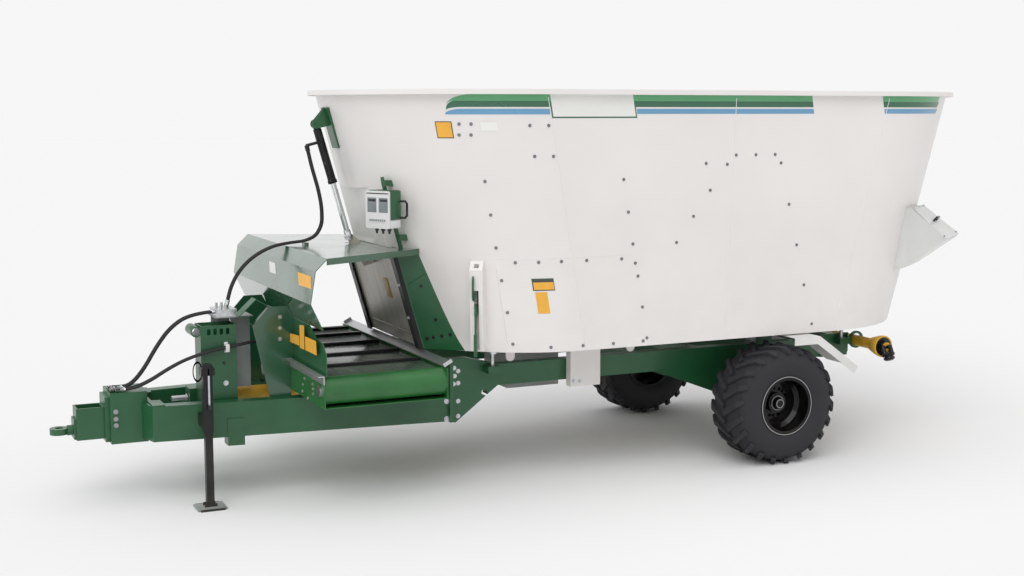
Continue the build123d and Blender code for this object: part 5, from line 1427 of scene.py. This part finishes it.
@dataclass
class Hoses:
    """The four free hoses, each a smooth line that its own points control, and their couplers."""

    nodes: dict[str, bpy.types.Object]
    radius: float = 0.009
    # X and Z of the upper hoses' points
    upper_route: tuple = (
        (2.480, 1.225), (2.620, 1.216), (2.750, 1.136), (2.845, 1.010), (2.925, 0.870), (3.000, 0.776),
        (3.060, 0.7465), (3.100, 0.7454),
    )
    # X, share of the way to the nose's Y, or back to the motor's where negative, and Z of the lower hoses' points
    lower_route: tuple = (
        (2.098, -1.0, 0.912), (2.112, -0.93, 0.975), (2.175, -0.6, 1.016), (2.262, -0.16, 1.026),
        (2.360, 0, 1.018), (2.470, 0, 1.002), (2.590, 0, 0.978), (2.710, 0.16, 0.935), (2.815, 0.38, 0.873),
        (2.905, 0.64, 0.806), (2.985, 0.86, 0.762), (3.048, 0.96, 0.747), (3.096, 1.0, 0.7456),
    )
    # Y at the valve block and on the nose of each upper hose
    upper_ends: tuple = ((0.070, 0.0), (0.112, 0.040))
    # Y at the motor, at the tower and on the nose of each lower hose
    lower_ends: tuple = ((0.052, 0.276, 0.084), (0.080, 0.297, 0.122))
    # From, to, radius and end radius of each turned part of a coupler
    coupler_rows: tuple = (
        (-0.030, -0.002, 0.0105, 0.0105), (-0.002, 0.010, 0.0105, 0.0128), (0.010, 0.034, 0.0128, 0.0128),
        (0.034, 0.038, 0.0128, 0.0092), (0.038, 0.048, 0.0092, 0.0092), (0.048, 0.051, 0.0092, 0.011),
        (0.051, 0.067, 0.011, 0.011), (0.067, 0.070, 0.011, 0.009),
    )

    def routes(self) -> dict[str, list[Point]]:
        """Each hose's points, in metres."""
        rows = {}
        for number, (first, last) in enumerate(self.upper_ends):
            count = len(self.upper_route) - 1
            rows[f"hose_upper_{number + 1}"] = [
                (x, first + (last - first) * n / count, z) for n, (x, z) in enumerate(self.upper_route)
            ]
        for number, (motor, tower, nose) in enumerate(self.lower_ends):
            rows[f"hose_lower_{number + 1}"] = [
                (x, tower + (motor - tower) * -share if share < 0 else tower + (nose - tower) * share, z)
                for x, share, z in self.lower_route
            ]
        return rows

    @staticmethod
    def length(points: Sequence[Point]) -> float:
        """The length of the smooth line that a route's points control.

        Args:
            points: the route's points.

        Returns:
            The length in metres.
        """
        steps, corners = 24, [Vector(point) for point in points]
        total, last = 0.0, corners[0]
        for k in range(1, len(corners) - 1):
            start = corners[0] if k == 1 else (corners[k - 1] + corners[k]) / 2
            end = corners[-1] if k == len(corners) - 2 else (corners[k] + corners[k + 1]) / 2
            for step in range(1, steps + 1):
                t = step / steps
                here = start * (1 - t) ** 2 + corners[k] * 2 * t * (1 - t) + end * t**2
                total += (here - last).length
                last = here
        return total

    def coupler(self, name: str, end: Vector, way: Vector) -> bpy.types.Object:
        """Makes the coupler on a hose's free end.

        Args:
            name: the hose's name.
            end: where the hose ends.
            way: the direction of its last run.

        Returns:
            The coupler.
        """
        run = way.normalized()
        bm = bmesh.new()
        for start, stop, first, last in self.coupler_rows:
            add_rod(bm, end + run * start, end + run * stop, first, 24, last)
        add_rod(bm, end + run * 0.012, end + run * 0.030, 0.0127, 6)
        piece = finish_piece(name.replace("hose", "coupler"), bm, ZINC)
        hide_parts("hose_couplers")
        return piece

    def smooth_line(self, name: str, points: Sequence[Point]) -> bpy.types.Object:
        """Makes a hose's round tube along the smooth line that its points control.

        Args:
            name: the piece's name.
            points: the route's points.

        Returns:
            The piece.
        """
        curve = bpy.data.curves.new(name, "CURVE")
        curve.dimensions = "3D"
        curve.bevel_depth = self.radius
        curve.bevel_resolution = 5
        curve.resolution_u = 12
        curve.use_fill_caps = True
        spline = curve.splines.new("NURBS")
        spline.points.add(len(points) - 1)
        for point, place in zip(spline.points, points):
            point.co = (*place, 1.0)
        spline.order_u = 3
        spline.use_endpoint_u = True
        curve.materials.append(RUBBER.material())
        piece = bpy.data.objects.new(name, curve)
        bpy.context.scene.collection.objects.link(piece)
        return piece

    def build(self) -> None:
        for name, points in self.routes().items():
            if name not in self.nodes:
                log.warning("no node %s, so no hose", name)
                continue
            piece = self.smooth_line(f"{name}_line", points)
            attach(piece, "wagon")
            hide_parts(name)
            coupler = self.coupler(name, Vector(points[-1]), Vector(points[-1]) - Vector(points[-2]))
            round(self.length(points), 3)
            log.info("hose %s: %.3f m", name, self.length(points))


@dataclass(frozen=True)
class Lamp:
    """A soft distant lamp of the studio."""

    name: str
    towards: Point
    spread: float
    power: float


@dataclass
class Studio:
    """The camera, the pale floor and the soft light."""

    view: Viewpoint = Viewpoint()
    lens: float = 50.0
    film: float = 36.0
    far: float = 400.0
    level: float = 0.52
    pale: float = 0.93
    floor_radius: float = 120.0
    floor_greys: tuple[int, int] = (248, 249)
    lamp_height: float = 8.0

    def camera(self) -> None:
        """Puts the camera where the photograph was taken from."""
        right, up, forward = self.view.axes()
        turn = Matrix((right, up, -forward)).transposed()
        data = bpy.data.cameras.new("camera")
        data.lens = self.lens
        data.sensor_width = self.film
        data.clip_end = self.far
        eye = bpy.data.objects.new("camera", data)
        eye.matrix_world = Matrix.Translation(self.view.eye) @ turn.to_4x4()
        bpy.context.scene.collection.objects.link(eye)
        bpy.context.scene.camera = eye

    def shown_pale(self, tree: bpy.types.NodeTree) -> bpy.types.NodeSocket:
        """Tells the rays that see the background from those that only light the wagon.

        Args:
            tree: the world's nodes.

        Returns:
            A value that is 1 for camera, glossy and transmission rays, and 0 for the rest.
        """
        path = tree.nodes.new("ShaderNodeLightPath")
        total = path.outputs["Is Camera Ray"]
        for name in ("Is Glossy Ray", "Is Transmission Ray"):
            node = tree.nodes.new("ShaderNodeMath")
            node.operation = "MAXIMUM"
            tree.links.new(total, node.inputs[0])
            tree.links.new(path.outputs[name], node.inputs[1])
            total = node.outputs[0]
        return total

    def world(self) -> None:
        """Makes the soft light from all round and the pale background."""
        world = bpy.data.worlds.new("studio")
        world.use_nodes = True
        bpy.context.scene.world = world
        tree = world.node_tree
        light = tree.nodes["Background"]
        light.inputs["Color"].default_value = (1.0, 1.0, 1.0, 1.0)
        light.inputs["Strength"].default_value = self.level
        seen = tree.nodes.new("ShaderNodeBackground")
        seen.inputs["Color"].default_value = (self.pale, self.pale, self.pale, 1.0)
        seen.inputs["Strength"].default_value = 1.0
        mix = tree.nodes.new("ShaderNodeMixShader")
        tree.links.new(self.shown_pale(tree), mix.inputs["Fac"])
        tree.links.new(light.outputs[0], mix.inputs[1])
        tree.links.new(seen.outputs[0], mix.inputs[2])
        tree.links.new(mix.outputs[0], tree.nodes["World Output"].inputs["Surface"])

    def floor(self) -> None:
        """Makes the pale floor."""
        bm = bmesh.new()
        bmesh.ops.create_circle(bm, cap_ends=True, segments=96, radius=self.floor_radius)
        mesh = bpy.data.meshes.new("studio_floor")
        bm.to_mesh(mesh)
        bm.free()
        floor = bpy.data.objects.new("studio_floor", mesh)
        bpy.context.scene.collection.objects.link(floor)
        material = bpy.data.materials.new("studio_floor")
        material.use_nodes = True
        tree = material.node_tree
        shader = tree.nodes["Principled BSDF"]
        shader.inputs["Roughness"].default_value = 0.9
        shader.inputs["Specular IOR Level"].default_value = 0.1
        place = tree.nodes.new("ShaderNodeTexCoord")
        cloud = Finish.noise(tree, place.outputs["Object"], 0.4, 3.0)
        dark, light = (linear((grey, grey, grey)) for grey in self.floor_greys)
        shade = Finish.blend(tree, cloud, dark, light)
        tree.links.new(shade, shader.inputs["Base Color"])
        mesh.materials.append(material)

    def lamps(self) -> None:
        """Hangs the soft lamps, far enough off that the floor is lit evenly."""
        rows = [
            Lamp("key", (0.42, 0.62, 0.72), 46.0, 1.05),
            Lamp("front", (0.85, -0.15, 0.55), 60.0, 0.42),
            Lamp("top", (-0.15, 0.05, 1.0), 70.0, 0.50),
        ]
        for row in rows:
            data = bpy.data.lights.new(row.name, "SUN")
            data.angle = math.radians(row.spread)
            data.energy = row.power
            lamp = bpy.data.objects.new(row.name, data)
            lamp.matrix_world = aim((0.0, 0.0, self.lamp_height), row.towards)
            bpy.context.scene.collection.objects.link(lamp)

    def build(self) -> None:
        """Sets up the whole studio."""
        self.camera()
        self.world()
        self.floor()
        self.lamps()


def main() -> None:
    """Loads the frame and builds every sub-assembly's dress in order."""
    logging.basicConfig(level=logging.INFO, format="%(name)s %(message)s")
    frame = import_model()
    bpy.context.scene.view_settings.view_transform = "Standard"
    Studio().build()
    dress_nodes(frame)
    seats = Seats(frame["nodes"])
    tub = TubShell()
    Hoses(frame["nodes"]).build()
    tub.build()
    for side in Side:
        Wheel(side).build()
    DoorFront(seats).build()
    SmallBolts(seats).build()
    FeedBoardTrim(seats, tub).build()
    ConveyorBelt().build()
    NoseTrim().build()
    JackTrim().build()
    TowerTrim().build()
    DisplayTrim().build()
    HopperTrim().build()
    Driveline().build()


if __name__ == "__main__":
    main()
